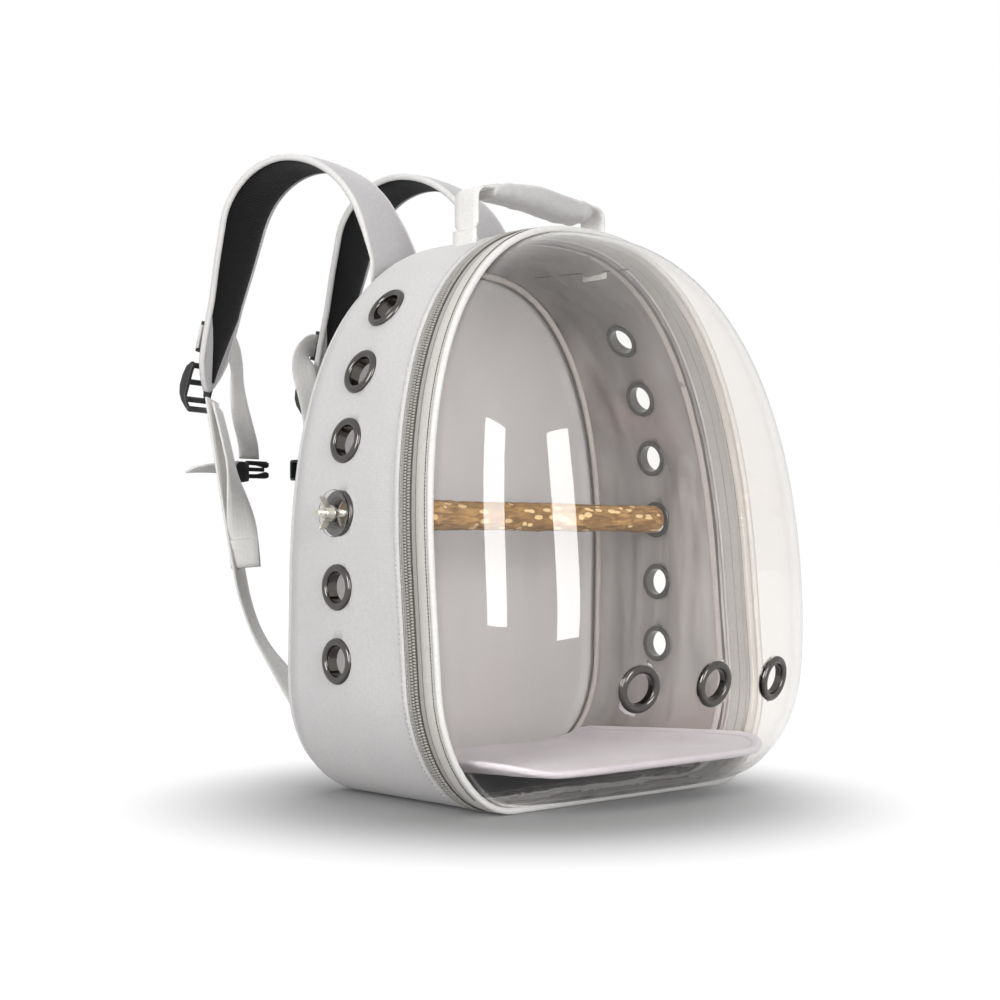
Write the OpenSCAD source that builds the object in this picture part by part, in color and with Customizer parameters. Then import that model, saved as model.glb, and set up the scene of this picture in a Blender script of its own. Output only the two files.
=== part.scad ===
// Backpack carrier for a pet bird: an arched fabric shell with a clear bulging door,
// a perch across the cabin, a carry handle and two padded shoulder straps.
// Millimetres. The origin is the centre of the base, +Z is up and the door faces -Y.

/* [Shell] */
// Height of the shell
shell_h = 420; // [400:1:450]
// Half of the shell's width at its straight sides
half_w = 172; // [165:0.5:180]
// Half width of the flat part of the base
base_half = 108; // [100:1:115]
// Height at which the rounded lower corners end
corner_h = 88; // [80:1:95]
// Height at which the straight sides end and the arch starts
side_top = 150; // [140:1:160]
// Exponent of the arch, where 2 is an ellipse and more is squarer
arch_n = 2.45; // [2.2:0.05:2.8]
// Thickness of the padded fabric wall
wall = 4; // [3:0.1:4]
// Place of the back panel's outer face low on the back
back_y = 77; // [76:0.5:80]
// How far the back leans forward for each millimetre of height
back_lean = 0.025; // [0.02:0.005:0.03]
// Radius that turns the side wall into the back
back_r = 34; // [28:1:36]
// Place of the zipper's centre line at mid height
zip_y = -75.7; // [-85:0.1:-70]
// Place of the door's front rim at mid height
rim_y = -96; // [-100:0.1:-95]
// Degrees that the zipper and the rim lean back
lean_deg = 4.86; // [4:0.02:6]

/* [Door window] */
// Depth of the clear dome in front of the rim
dome_depth = 106; // [90:0.5:110]
// Height of the dome's deepest line
dome_mid = 170; // [150:1:190]
// Exponent of the dome's lower side profile
dome_low_n = 2.3; // [2:0.05:2.6]
// Exponent of the dome's upper side profile
dome_up_n = 2.1; // [1.9:0.05:2.4]
// Exponent of the dome's plan
dome_plan_n = 2.5; // [2.2:0.05:2.8]
// Thickness of the clear sheet
dome_t = 1.5; // [1:0.1:2]
// Spacing of the three eyelets low in the window
window_eyelet_pitch = 71; // [60:1:75]
// Height of the window eyelets
window_eyelet_z = 88.5; // [85:0.5:95]

/* [Eyelets] */
// Outer radius of an eyelet's flange
eyelet_r = 16.6; // [15:0.1:18]
// Radius of an eyelet's hole
eyelet_bore = 10.75; // [9:0.05:11.5]
// Heights of the side eyelets
eyelet_z = [102, 154.5, 207, 259, 309, 357];
// Which side eyelet holds the perch, counted from the bottom from 0
perch_eyelet = 2; // [2:1:2]

/* [Perch] */
// Radius of the branch
perch_r = 12; // [10:0.5:14]
// Radius of the threaded studs in its ends
stud_r = 3; // [2.5:0.1:3]
// Radius of the clamp washers
washer_r = 17; // [16:0.5:18]
// Gap that a wing nut can open, four turns of a 1 mm thread
nut_travel = 4; // [3:0.5:4]

/* [Handle] */
// Half of the distance between the handle's legs
handle_half = 67; // [60:1:70]
// Place of the handle from front to back
handle_y = -20; // [-25:1:-10]
// Height of the middle of the grip
grip_z = 450.5; // [450:0.5:456]
// Thickness of the padded grip
grip_d = 17; // [14:0.5:18]
// Width of the handle's webbing
handle_web = 26; // [20:1:28]

/* [Shoulder straps] */
// Width of a shoulder pad
pad_w = 56; // [52:1:60]
// Thickness of a shoulder pad
pad_t = 9; // [8:0.5:11]
// Distance of each strap's upper end from the centre line
strap_x = 62; // [60:1:70]
// Degrees that both straps lean to the left
splay = 17; // [12:1:20]
// Width of the adjusting webbing
web_w = 25; // [20:1:26]
// Thickness of the webbing
web_t = 2; // [1.6:0.1:2.4]

/* [Hidden] */
$fn = 48;

lean = tan(lean_deg);
mid_z = 200;
back_z = 114;
corner_steps = 7;
arch_steps = 16;

// Half width of the shell's outline at a height, drawn in by d
function half_at(z, d = 0) =
  z > side_top
    ? (half_w - d) * pow(max(0, 1 - pow((z - side_top) / (shell_h - side_top - d), arch_n)), 1 / arch_n)
    : z < corner_h
      ? base_half + (half_w - base_half - d) * sqrt(max(0, 1 - pow((corner_h - z) / (corner_h - d), 2)))
      : half_w - d;

// Right side of the outline from the base to just under the crown, drawn in by d
function right_side(d) = concat(
  [for (i = [0:corner_steps])
    let (t = -90 + 90 * i / corner_steps)
      [base_half + (half_w - base_half - d) * cos(t), corner_h + (corner_h - d) * sin(t)]],
  [for (i = [0:arch_steps - 1])
    let (t = 90 * i / arch_steps)
      [(half_w - d) * pow(cos(t), 2 / arch_n),
       side_top + (shell_h - side_top - d) * pow(sin(t), 2 / arch_n)]]
);

// Whole outline, counter-clockwise as seen from the front
function outline(d = 0) =
  let (right = right_side(d))
    concat(right, [[0, shell_h - d]], [for (i = [len(right) - 1:-1:0]) [-right[i][0], right[i][1]]]);

base_steps = 8;

// The same with points along the base, for the window
function fine_outline(d) = concat(outline(d),
  [for (i = [1:base_steps - 1]) [-base_half + 2 * base_half * i / base_steps, d]]);

// Outline as a ring of points on an upright plane, or on one that leans like the rim
function back_ring(d, y) = [for (p = outline(d)) [p[0], y - back_lean * (p[1] - back_z), p[1]]];
function lean_ring(d, y) = [for (p = outline(d)) [p[0], y + lean * (p[1] - mid_z), p[1]]];

function flatten(rings) = [for (r = rings) each r];

// Quads between neighbouring rings, split in two
function ring_faces(count, n, closed) = [
  for (i = [0:count - (closed ? 1 : 2)], j = [0:n - 1])
    let (a = i * n + j, b = i * n + (j + 1) % n,
         c = ((i + 1) % count) * n + (j + 1) % n, d = ((i + 1) % count) * n + j)
      each [[a, b, c], [a, c, d]]
];

// Solid whose skin runs through the rings and back to the first one
module ring_loft(rings) {
  polyhedron(flatten(rings), ring_faces(len(rings), len(rings[0]), true), convexity = 8);
}

// Solid whose skin runs through the rings, with a flat cap at each end
module capped_loft(rings) {
  n = len(rings[0]);
  count = len(rings);
  caps = [[for (j = [n - 1:-1:0]) j], [for (j = [0:n - 1]) (count - 1) * n + j]];
  polyhedron(flatten(rings), concat(ring_faces(count, n, false), caps), convexity = 8);
}

// Point of the turned corner between side and back, as its inset and its place along Y
function turn_inset(r, t) = back_r - r * cos(t);
function turn_y(r, t) = back_y + 2 - back_r + r * sin(t);

seam_turn = 43;
wall_turn = 37.8;
panel_turn = 48.2;
flat_turn = 70;

// Rings of the turned corner for a skin drawn in by d
function turn_rings(d, from, to, steps) = [
  for (i = [0:steps])
    let (t = from + (to - from) * i / steps) back_ring(turn_inset(back_r - d, t), turn_y(back_r - d, t))
];

function reversed(list) = [for (i = [len(list) - 1:-1:0]) list[i]];

// Wall between two skins of the shell, from a leaning front edge to the seam at the back
module turned_wall(d_out, d_in, front_y) {
  ring_loft(concat(
    [lean_ring(d_out, front_y)], turn_rings(d_out, 0, wall_turn, 3),
    reversed(turn_rings(d_in, 0, wall_turn, 3)), [lean_ring(d_in, front_y)]
  ));
}

// Sheet between two skins of the shell that closes the back, with its turned edge
module turned_panel(d_out, d_in) {
  capped_loft(concat(
    reversed(turn_rings(d_in, panel_turn, flat_turn, 3)), turn_rings(d_out, panel_turn, flat_turn, 3)
  ));
}

// Prism of the outline along Y
module outline_prism(d, y0, y1) {
  translate([0, y1, 0]) rotate([90, 0, 0]) linear_extrude(y1 - y0) polygon(outline(d));
}

// Slab between two planes that lean like the rim
module lean_slab(y0, y1) {
  translate([0, y0, mid_z]) rotate([-lean_deg, 0, 0])
    translate([-300, 0, -400]) cube([600, (y1 - y0) * cos(lean_deg), 800]);
}

// Ring of the outline between two insets and two leaning planes
module lean_band(d_out, d_in, y0, y1) {
  intersection() {
    difference() {
      outline_prism(d_out, -150, 20);
      outline_prism(d_in, -151, 21);
    }
    lean_slab(y0, y1);
  }
}

// Round cord along the outline; the ring of the cord's centre is drawn in by d
module outline_cord(d, y, r, leaning) {
  sides = 8;
  ring_loft([
    for (i = [0:sides - 1])
      let (t = -360 * i / sides)
        leaning ? lean_ring(d - r * cos(t), y + r * sin(t)) : back_ring(d - r * cos(t), y + r * sin(t))
  ]);
}

zip_ends = 104;
zip_tape = 8;
zip_gap = 1.5;
teeth_h = 2.2;

// Opening in the base where the door is sewn on, clear of the zipper
module hinge_cut(half = zip_ends) {
  translate([-half, -200, -5]) cube([2 * half, 160, 11]);
}

// Turns a shape that stands on the XY plane to stand on the side wall at height z
function wall_tilt(z) =
  let (h = 1) atan2(half_at(z - h) - half_at(z + h), 2 * h);
module on_wall(side, z, y = 0) {
  mirror([side < 0 ? 1 : 0, 0, 0])
    translate([half_at(z), y, z]) rotate([0, 90 - wall_tilt(z), 0]) children();
}

flange_h = 2.6;
barrel_t = 1.1;
bore_clear = 0.4;

// Metal eyelet standing on the wall, its barrel reaching down through it
module eyelet(depth) {
  rotate_extrude() {
    translate([eyelet_bore, -depth]) square([barrel_t, depth + 0.6]);
    intersection() {
      translate([(eyelet_r + eyelet_bore) / 2, 0])
        circle(r = (eyelet_r - eyelet_bore) / 2, $fn = 24);
      translate([eyelet_bore, 0]) square([eyelet_r, flange_h]);
    }
  }
}

// Flat washer under the wall, pressed on the barrel
module eyelet_washer(depth) {
  translate([0, 0, -depth]) difference() {
    cylinder(r = eyelet_r - 2, h = 1.2);
    translate([0, 0, -1]) cylinder(r = eyelet_bore + barrel_t, h = 4);
  }
}

module eyelet_bores() {
  for (side = [-1, 1], z = eyelet_z)
    on_wall(side, z) translate([0, 0, -20]) cylinder(r = eyelet_bore + barrel_t + bore_clear, h = 30);
}

skin_gap = 0.3;
lining_t = 1.2;
barrel_depth = wall + skin_gap + lining_t + 2.2;
front_edge = zip_y + zip_tape + 1;

// Fabric shell: side walls, arch and base in one, with the eyelet holes
module gusset_shell() color("#d6d4d3") {
  difference() {
    turned_wall(0, wall, front_edge);
    eyelet_bores();
  }
  translate([-zip_ends + 2, zip_y - lean * mid_z + 0.3, 0])
    cube([2 * zip_ends - 4, zip_tape + 5, 2.4]);
}

// Nylon lining inside the shell
module gusset_lining() color("#8d8a88") {
  difference() {
    turned_wall(wall + skin_gap, wall + skin_gap + lining_t, zip_y + zip_tape + 0.4);
    eyelet_bores();
  }
}

// Stiff back panel
module back_panel() color("#cfcdcc") turned_panel(0, wall);

module back_lining() color("#b0aeaf") turned_panel(wall + skin_gap, wall + skin_gap + lining_t);

seam_r = 2.6;
bind_r = 2.4;
cord_at = back_r - 0.4;
bind_at = back_r - wall - skin_gap - lining_t - bind_r - 0.3;

// Cord sewn in the seam round the back
module back_piping() color("#c4c2c1") {
  outline_cord(turn_inset(cord_at, seam_turn), turn_y(cord_at, seam_turn), seam_r, false);
}

// Bound seam inside, where the back lining meets the wall lining
module inner_binding() color("#a19e9c") {
  outline_cord(turn_inset(bind_at, seam_turn), turn_y(bind_at, seam_turn), bind_r, false);
}

back_pad_gap = 0.9;
pad_edge = 14;

// Place of the shell's back surface at a point, with its turned sides
function back_face(x, z) =
  let (d = (half_at(z) - abs(x)) * cos(wall_tilt(z)), r = back_r)
    min(turn_y(r, flat_turn), back_y + 2 - r + (d >= r ? r : sqrt(r * r - (r - d) * (r - d))))
      - back_lean * (z - back_z);

// Ring of a cushion's outline drawn in by k and raised by up
function cushion_ring(z0, z1, half, k, up) = [
  for (q = [0:35])
    let (t = 10 * q, u = sign(cos(t)) * pow(abs(cos(t)), 0.4), v = sign(sin(t)) * pow(abs(sin(t)), 0.4),
         z = (z0 + z1) / 2 + ((z1 - z0) / 2 - k) * v,
         x = (min(half, half_at(z) - pad_edge) - k) * u)
      [x, back_face(x, z) + back_pad_gap + up, z]
];

// Crowned back cushion that wraps the turned sides of the shell a little
module back_cushion(z0, z1, half, t) {
  rings = concat(
    [for (k = [32, 22, 14, 8, 3]) cushion_ring(z0, z1, half, k, 0)],
    [for (a = [0:15:90]) cushion_ring(z0, z1, half, 24 * (1 - cos(a)), 4 + (t - 4) * sin(a))]
  );
  flat_last = [for (p = cushion_ring(z0, z1, half, 34, 0))
    [p[0], back_y + back_pad_gap + t + 1 - back_lean * (p[2] - back_z), p[2]]];
  capped_loft(concat(rings, [flat_last]));
}

module upper_back_pad() color("#2b2b2d") back_cushion(234, 346, 148, 14);
module lower_back_pad() color("#2b2b2d") back_cushion(70, 190, 154, 20);

// Stiff board in the base
module base_board() color("#77757a") {
  translate([-107, -78, 6]) cube([214, 118, 3]);
}

mat_rear = 62;
mat_half = 133;
mat_t = 5;
mat_tilt = 3.2;
mat_front = 91;
mat_steps = 14;
mat_z = 15.6;
core_rear = 54;

function mat_bow(half, front) = [
  for (i = [0:mat_steps])
    let (t = 180 * i / mat_steps)
      [half * sign(cos(t)) * pow(abs(cos(t)), 0.72), -72 - front * pow(sin(t), 0.72)]
];

module mat_sheet(half, rear, front, t) {
  linear_extrude(t)
    polygon(concat([[half - 8, rear], [half, rear - 8]], mat_bow(half, front),
      [[-half, rear - 8], [-half + 8, rear]]));
}

// Washable mat on a narrower foam core; its bowed front reaches into the window
module floor_mat() color("#cfcacf") {
  translate([0, mat_rear, mat_z]) rotate([-mat_tilt, 0, 0]) translate([0, -mat_rear, 0]) {
    mat_sheet(mat_half, mat_rear, mat_front, mat_t);
    translate([0, 0, -5]) mat_sheet(mat_half - 13, core_rear, mat_front - 24, 5);
  }
}

// Zipper tapes and their rows of teeth, one half on the shell and one on the door
module body_zipper_tape() color("#b9b6b3") {
  difference() {
    lean_band(0.9, 2.5, zip_y + zip_gap, zip_y + zip_tape + 0.6);
    hinge_cut();
  }
}

module door_zipper_tape() color("#b9b6b3") {
  difference() {
    lean_band(0.9, 2.5, zip_y - zip_tape, zip_y - zip_gap);
    hinge_cut();
  }
}

module body_zipper_teeth() color("#8f8c8a") {
  difference() {
    lean_band(0.9 - teeth_h, 2.9, zip_y + 0.25, zip_y + zip_gap - 0.05);
    hinge_cut(zip_ends + 14);
  }
}

module door_zipper_teeth() color("#8f8c8a") {
  difference() {
    lean_band(0.9 - teeth_h, 2.9, zip_y - zip_gap + 0.05, zip_y - 0.25);
    hinge_cut(zip_ends + 14);
  }
}

// Fabric band that frames the door
module door_band() color("#d2d0cd") {
  lean_band(0.2, 3.4, rim_y + 0.6, zip_y - zip_tape - 0.3);
}

piping_r = 2.25;

// White piping round the rim
module door_piping() color("#f0efee") outline_cord(piping_r, rim_y - piping_r + 0.4, piping_r, true);

dome_inset = 4.8;

// Depth of the dome in front of the rim at a point of the outline, for a sheet drawn in by t
function dome_rise(x, z, t) =
  let (d = dome_inset + t, lo = d, hi = shell_h - d,
       side = z < dome_mid ? (dome_mid - z) / (dome_mid - lo) : (z - dome_mid) / (hi - dome_mid),
       n = z < dome_mid ? dome_low_n : dome_up_n,
       across = abs(x) / max(1, half_at(z, d)))
    (dome_depth - t)
      * pow(max(0, 1 - pow(min(1, side), n)), 1 / n)
      * pow(max(0, 1 - pow(min(1, across), dome_plan_n)), 1 / dome_plan_n);

dome_rings = [1, 0.9985, 0.994, 0.985, 0.97, 0.94, 0.89, 0.81, 0.7, 0.55, 0.37, 0.17];

// One ring of the dome: the rim's outline shrunk towards the window's middle
function rim_ring(d, y) = [for (p = fine_outline(d)) [p[0], y + lean * (p[1] - mid_z), p[1]]];
function dome_ring(s, t) = [
  for (p = fine_outline(dome_inset + t))
    let (x = s * p[0], z = dome_mid + s * (p[1] - dome_mid))
      [x, rim_y + lean * (z - mid_z) - dome_rise(x, z, t), z]
];

// Clear sheet blown into a dome, with a straight collar behind the rim
module window_dome() color("#f2f6f8", 0.35) {
  n = len(fine_outline(0));
  count = len(dome_rings) + 1;
  collar = 7;
  outer = concat([rim_ring(dome_inset, rim_y + collar)], [for (s = dome_rings) dome_ring(s, 0)]);
  inner = concat([rim_ring(dome_inset + dome_t, rim_y + collar)],
    [for (s = dome_rings) dome_ring(s, dome_t)]);
  tips = [for (t = [0, dome_t])
    [0, rim_y + lean * (dome_mid - mid_z) - dome_rise(0, dome_mid, t), dome_mid]];
  side_faces = [
    for (i = [0:count - 2], j = [0:n - 1])
      let (a = i * n + j, b = i * n + (j + 1) % n, c = b + n, d = a + n, k = count * n)
        each [[a, c, b], [a, d, c], [a + k, b + k, c + k], [a + k, c + k, d + k]]
  ];
  tip_faces = [
    for (j = [0:n - 1])
      let (a = (count - 1) * n + j, b = (count - 1) * n + (j + 1) % n, k = count * n)
        each [[a, 2 * k, b], [a + k, b + k, 2 * k + 1]]
  ];
  rim_faces = [
    for (j = [0:n - 1])
      let (a = j, b = (j + 1) % n, k = count * n) each [[a, b, b + k], [a, b + k, a + k]]
  ];
  difference() {
    polyhedron(concat(flatten(outer), flatten(inner), tips),
      concat(side_faces, tip_faces, rim_faces), convexity = 6);
    for (i = [-1:1]) at_window(i) translate([0, 0, -15])
      cylinder(r = eyelet_bore + barrel_t + bore_clear, h = 30);
  }
}

// Turns a shape on the XY plane to stand on the window at one of its three eyelets
module at_window(i) {
  x = i * window_eyelet_pitch;
  z = window_eyelet_z;
  h = 4;
  function face(px, pz) = rim_y + lean * (pz - mid_z) - dome_rise(px, pz, 0);
  yaw = atan2(face(x + h, z) - face(x - h, z), 2 * h);
  pitch = atan2(face(x, z + h) - face(x, z - h), 2 * h);
  translate([x, face(x, z) - 0.1, z]) rotate([0, 0, yaw]) rotate([90 - pitch, 0, 0]) children();
}

window_depth = dome_t + 3;

module window_eyelets() color("#6a6866") for (i = [-1:1]) at_window(i) eyelet(window_depth);
module window_eyelet_washers() color("#6a6866") {
  for (i = [-1:1]) at_window(i) eyelet_washer(window_depth);
}

// Fabric strip along the base that the door folds down on
module door_hinge_strip() color("#cbc8c6") {
  translate([-zip_ends + 2, zip_y - zip_tape - lean * mid_z + 0.1, 0.3])
    cube([2 * zip_ends - 4, zip_tape - 0.6, 2]);
}

module left_eyelets() color("#6a6866") for (z = eyelet_z) on_wall(-1, z) eyelet(barrel_depth);
module right_eyelets() color("#6a6866") for (z = eyelet_z) on_wall(1, z) eyelet(barrel_depth);
module left_eyelet_washers() color("#6a6866") {
  for (z = eyelet_z) on_wall(-1, z) eyelet_washer(barrel_depth);
}
module right_eyelet_washers() color("#6a6866") {
  for (z = eyelet_z) on_wall(1, z) eyelet_washer(barrel_depth);
}

slider_l = 13;
slider_w = 9;
slider_t = 1.6;
slider_lift = teeth_h - 0.9 + 0.9;
slider_park = 140;
slider_low = slider_park - slider_l / 2 - 1;
slider_high = slider_park + slider_l / 2 + 1;

// Moves a shape to the zipper on the right side wall; its X is out of the wall and Z up
module on_zipper(z) {
  translate([half_at(z), zip_y + lean * (z - mid_z), z]) rotate([-lean_deg, 0, 0]) children();
}

// Slider: a tapered plate over the teeth with a bridge for the pull tab
module slider() {
  translate([slider_lift, 0, 0]) {
    rotate([90, 0, 90]) linear_extrude(slider_t)
      polygon([[-slider_w / 2, slider_l / 2], [slider_w / 2, slider_l / 2],
        [slider_w / 2, 0], [slider_w / 2 - 2.5, -slider_l / 2],
        [-slider_w / 2 + 2.5, -slider_l / 2], [-slider_w / 2, 0]]);
    for (end = [-1, 1])
      translate([slider_t - 0.1, -1.5, end * 4 - 0.75]) cube([3.6, 3, 1.5]);
    translate([slider_t + 3.3, -1.5, -4.75]) cube([1.2, 3, 9.5]);
  }
}

tab_l = 26;
tab_rest = 24;
pivot_out = slider_lift + slider_t + 1.6;

// Pull tab hanging from the bridge, with a slot at its end
module pull_tab() {
  translate([pivot_out, 0, 0]) {
    difference() {
      translate([-0.8, -3.5, -tab_l]) cube([1.6, 7, tab_l + 1.2]);
      translate([-2, -1.9, -5.8]) cube([4, 3.8, 6.2]);
      translate([-2, -1.5, -tab_l + 3]) cube([4, 3, 9]);
    }
  }
}

module upper_slider() color("#8b8987") on_zipper(slider_high) mirror([0, 0, 1]) slider();
module lower_slider() color("#8b8987") on_zipper(slider_low) slider();
module upper_pull_tab() color("#8b8987") {
  on_zipper(slider_high) translate([pivot_out, 0, 0]) rotate([0, -tab_rest, 0])
    translate([-pivot_out, 0, 0]) pull_tab();
}
module lower_pull_tab() color("#8b8987") on_zipper(slider_low) pull_tab();

// Handle
handle_pivot_z = 414;
leg_low = handle_pivot_z + 7;
bend_r = 9;
leg_x = handle_half;
leg_top = grip_z - bend_r;

// Webbing of the handle in the XZ plane: two legs and a low arch between them
module handle_outline(t) {
  rise = 3;
  arch_r = (pow(leg_x - bend_r, 2) + rise * rise) / (2 * rise);
  for (s = [-1, 1]) {
    translate([s * leg_x - t / 2, leg_low]) square([t, leg_top - leg_low]);
    intersection() {
      translate([s * (leg_x - bend_r), leg_top]) difference() {
        circle(r = bend_r + t / 2);
        circle(r = bend_r - t / 2);
      }
      translate([s > 0 ? leg_x - bend_r : -leg_x - t, leg_top]) square([bend_r + t, bend_r + t]);
    }
  }
  intersection() {
    translate([0, grip_z + rise - arch_r]) difference() {
      circle(r = arch_r + t / 2, $fn = 360);
      circle(r = arch_r - t / 2, $fn = 360);
    }
    translate([-leg_x + bend_r, grip_z - 5]) square([2 * (leg_x - bend_r), 20]);
  }
}

module handle_webbing() color("#c9c7c6") {
  translate([0, handle_y + handle_web / 2, 0]) rotate([90, 0, 0])
    linear_extrude(handle_web) handle_outline(web_t);
}

grip_half = 52;
grip_rise = 3;
grip_steps = 10;

function grip_ring(x) =
  let (u = x / grip_half, r = grip_d / 2 * (1 - 0.12 * u * u),
       zc = grip_z + grip_rise * (1 - pow(x / (leg_x - bend_r), 2)))
    [for (q = [0:15])
      let (t = 360 * q / 16)
        [x, handle_y + (handle_web / 2 + 2.6 - 1.5 * u * u) * cos(t), zc + r * sin(t)]];

// Padded sleeve round the webbing, thicker in the middle
module handle_grip() color("#b5b3b3") {
  difference() {
    capped_loft([for (i = [0:grip_steps]) grip_ring(-grip_half + 2 * grip_half * i / grip_steps)]);
    translate([0, handle_y + handle_web / 2 + 0.2, 0]) rotate([90, 0, 0])
      linear_extrude(handle_web + 0.4) handle_outline(web_t + 0.4);
  }
}

// Sewn ends of the handle on the shell, outside its legs
module handle_tabs() color("#c9c7c6") {
  for (s = [0, 1]) mirror([s, 0, 0])
    difference() {
      translate([leg_x + web_t / 2 + 0.3, handle_y - handle_web / 2, 396])
        cube([web_t, handle_web, leg_low + 4 - 396]);
      outline_prism(-0.2, -150, 100);
    }
}

// Perch
perch_z = eyelet_z[perch_eyelet];
perch_end = half_at(perch_z) - barrel_depth - 1.6;
washer_x = half_at(perch_z) + flange_h + 1;
washer_t = 2;
nut_x = washer_x + washer_t + 0.3;
stud_end = nut_x + 9.5 + nut_travel;

module along_x(x) translate([x, 0, perch_z]) rotate([0, 90, 0]) children();

// Branch with its bark, a little thicker at the knots
module perch_branch() color("#9a7340") {
  along_x(-perch_end) rotate_extrude()
    polygon(concat([[0, 0]], [for (i = [0:24])
      let (u = i / 24) [perch_r * (0.95 + 0.05 * sin(u * 1180)), 2 * perch_end * u]],
      [[0, 2 * perch_end]]));
}

module perch_studs() color("#b4b2ae") {
  for (s = [-1, 1])
    along_x(s > 0 ? perch_end + 0.05 : -stud_end) cylinder(r = stud_r, h = stud_end - perch_end - 0.05);
}

module clamp_washer() {
  difference() {
    cylinder(r = washer_r, h = washer_t);
    translate([0, 0, -1]) cylinder(r = stud_r + 0.08, h = washer_t + 2);
  }
}

// Wing nut: a conical hub with two wings
module wing_nut() {
  difference() {
    union() {
      rotate_extrude() polygon([[0, 0], [6, 0], [6, 1.5], [4.2, 8], [0, 8]]);
      for (s = [0, 1]) rotate([0, 0, 180 * s])
        translate([3.2, -1, 1.6]) rotate([90, 0, 0]) translate([0, 0, -2]) linear_extrude(2)
          polygon([[0, 0], [4.5, 1.5], [9, 6.5], [8, 10.5], [5, 9], [0, 5.5]]);
    }
    translate([0, 0, -1]) cylinder(r = stud_r + 0.08, h = 12);
  }
}

module right_clamp_washer() color("#eceded", 0.8) along_x(washer_x) clamp_washer();
module left_clamp_washer() color("#eceded", 0.8) mirror([1, 0, 0]) along_x(washer_x) clamp_washer();
module right_wing_nut() color("#c9c6bd") along_x(nut_x) wing_nut();
module left_wing_nut() color("#c9c6bd") mirror([1, 0, 0]) along_x(nut_x) wing_nut();

// Shoulder straps. A strap's path lies in an upright plane that splays outward; each arc of the
// path is its length and how far it turns, and the path starts at the back's upper edge.
pad_start = [-10, 400];
// The right strap is the left one moved across, as both hang over to the left
right_shift = [strap_x + 56, 0, 2];
pad_heading = 74;
pad_arcs = [[60, -16], [75, -50], [90, -82], [140, 0]];
strap_y = 80;
arc_step = 10;

function walk(p, h, arcs, i = 0) =
  i >= len(arcs) ? [] :
    let (n = ceil(arcs[i][0] / arc_step), step = arcs[i][0] / n, turn = arcs[i][1] / n,
         pts = walk_arc(p, h, step, turn, n))
      concat([for (q = pts) q], walk([pts[n - 1][0], pts[n - 1][1]], h + arcs[i][1], arcs, i + 1));
function walk_arc(p, h, step, turn, n, k = 0) =
  k >= n ? [] :
    let (a = h + turn * (k + 0.5), q = [p[0] + step * cos(a), p[1] + step * sin(a)])
      concat([[q[0], q[1], h + turn * (k + 1)]], walk_arc(q, h, step, turn, n, k + 1));

pad_path = concat([[pad_start[0], pad_start[1], pad_heading]], walk(pad_start, pad_heading, pad_arcs));

// Offset of a path to its left by d
function beside(path, d) = [for (p = path) [p[0] - d * sin(p[2]), p[1] + d * cos(p[2])]];

// Flat outline of a band along a path between two offsets
function band_outline(path, d0, d1) =
  let (a = beside(path, d0), b = beside(path, d1))
    concat(a, [for (i = [len(b) - 1:-1:0]) b[i]]);

// Stands a strap's own plane up: its first axis runs back and outward, its second up
module strap_plane(w, shift = 0) {
  translate([-strap_x, strap_y, 0]) rotate([0, 0, splay]) translate([w / 2 + shift, 0, 0])
    rotate([90, 0, -90]) mirror([1, 0, 0]) linear_extrude(w) children();
}

root_steps = 2;
part_from = root_steps + 1;
function slice(list, from, to) = [for (i = [from:to]) list[i]];
pad_last = len(pad_path) - 1;
pad_run = slice(pad_path, part_from, pad_last);
pad_tip = pad_path[pad_last];
tip_l = 138;
mesh_t = 1.5;
bind_t = 3;

// Prism over the pad's lower part, tapered and rounded like the pad, drawn in by d
module tip_shape(d) {
  side = [[pad_w / 2 - d, -tip_l - 20], [pad_w / 2 - d, -tip_l], [18 - d, -54], [9.5 - 0.9 * d, -14],
    [6 - 0.7 * d, -d]];
  at_tip(0) translate([0, 0, -25]) linear_extrude(50)
    polygon(concat(side, [for (i = [4:-1:0]) [-side[i][0], side[i][1]]]));
}

// Everything of a strap above its tapered part, and in front of it towards the shell
module above_tip() {
  at_tip(tip_l) translate([-60, -400, -300]) cube([120, 400, 400]);
  at_tip(0) translate([-60, -400, -320]) cube([120, 440, 296]);
}

// Band of a pad between two offsets, with its tapered tip
module pad_band(path, d0, d1, inset) {
  intersection() {
    strap_plane(pad_w - 2 * inset) polygon(band_outline(path, d0, d1));
    union() {
      above_tip();
      tip_shape(inset);
    }
  }
}

module strap_pad() pad_band(pad_run, -pad_t / 2 + mesh_t + 0.1, pad_t / 2, bind_t + 0.1);

module strap_mesh() {
  pad_band(slice(pad_run, 1, len(pad_run) - 1), -pad_t / 2, -pad_t / 2 + mesh_t, bind_t + 0.1);
}

// Bound edge all round a pad
module strap_binding() {
  difference() {
    pad_band(pad_run, -pad_t / 2 - 0.4, pad_t / 2 + 0.4, 0);
    intersection() {
      strap_plane(pad_w - 2 * bind_t) polygon(band_outline(pad_path, -pad_t, pad_t));
      union() {
        above_tip();
        tip_shape(bind_t);
      }
    }
  }
}

// Sewn upper ends of both straps, on the shell
module strap_roots() color("#cfcdcb") {
  for (shift = [[0, 0, 0], right_shift])
    difference() {
      translate(shift) strap_plane(pad_w + 10)
        polygon(band_outline(slice(pad_path, 0, root_steps), -pad_t / 2 + 2, pad_t / 2 - 1));
      outline_prism(-0.3, -100, 100);
    }
}

// Lower webbing: from the base's back corner up to the ladder lock, in the YZ plane
anchor_x = 122;
web_start = [94, 48];
web_heading = 42;
web_arcs = [[80, -4], [70, 34], [156, 4]];
web_path = concat([[web_start[0], web_start[1], web_heading]], walk(web_start, web_heading, web_arcs));
web_last = web_path[len(web_path) - 1];

// Places the webbing's plane: its first axis is Y, its second Z, its width along X
module web_plane(x, w) {
  translate([x + w / 2, 0, 0]) rotate([90, 0, -90]) mirror([1, 0, 0]) linear_extrude(w) children();
}

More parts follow.
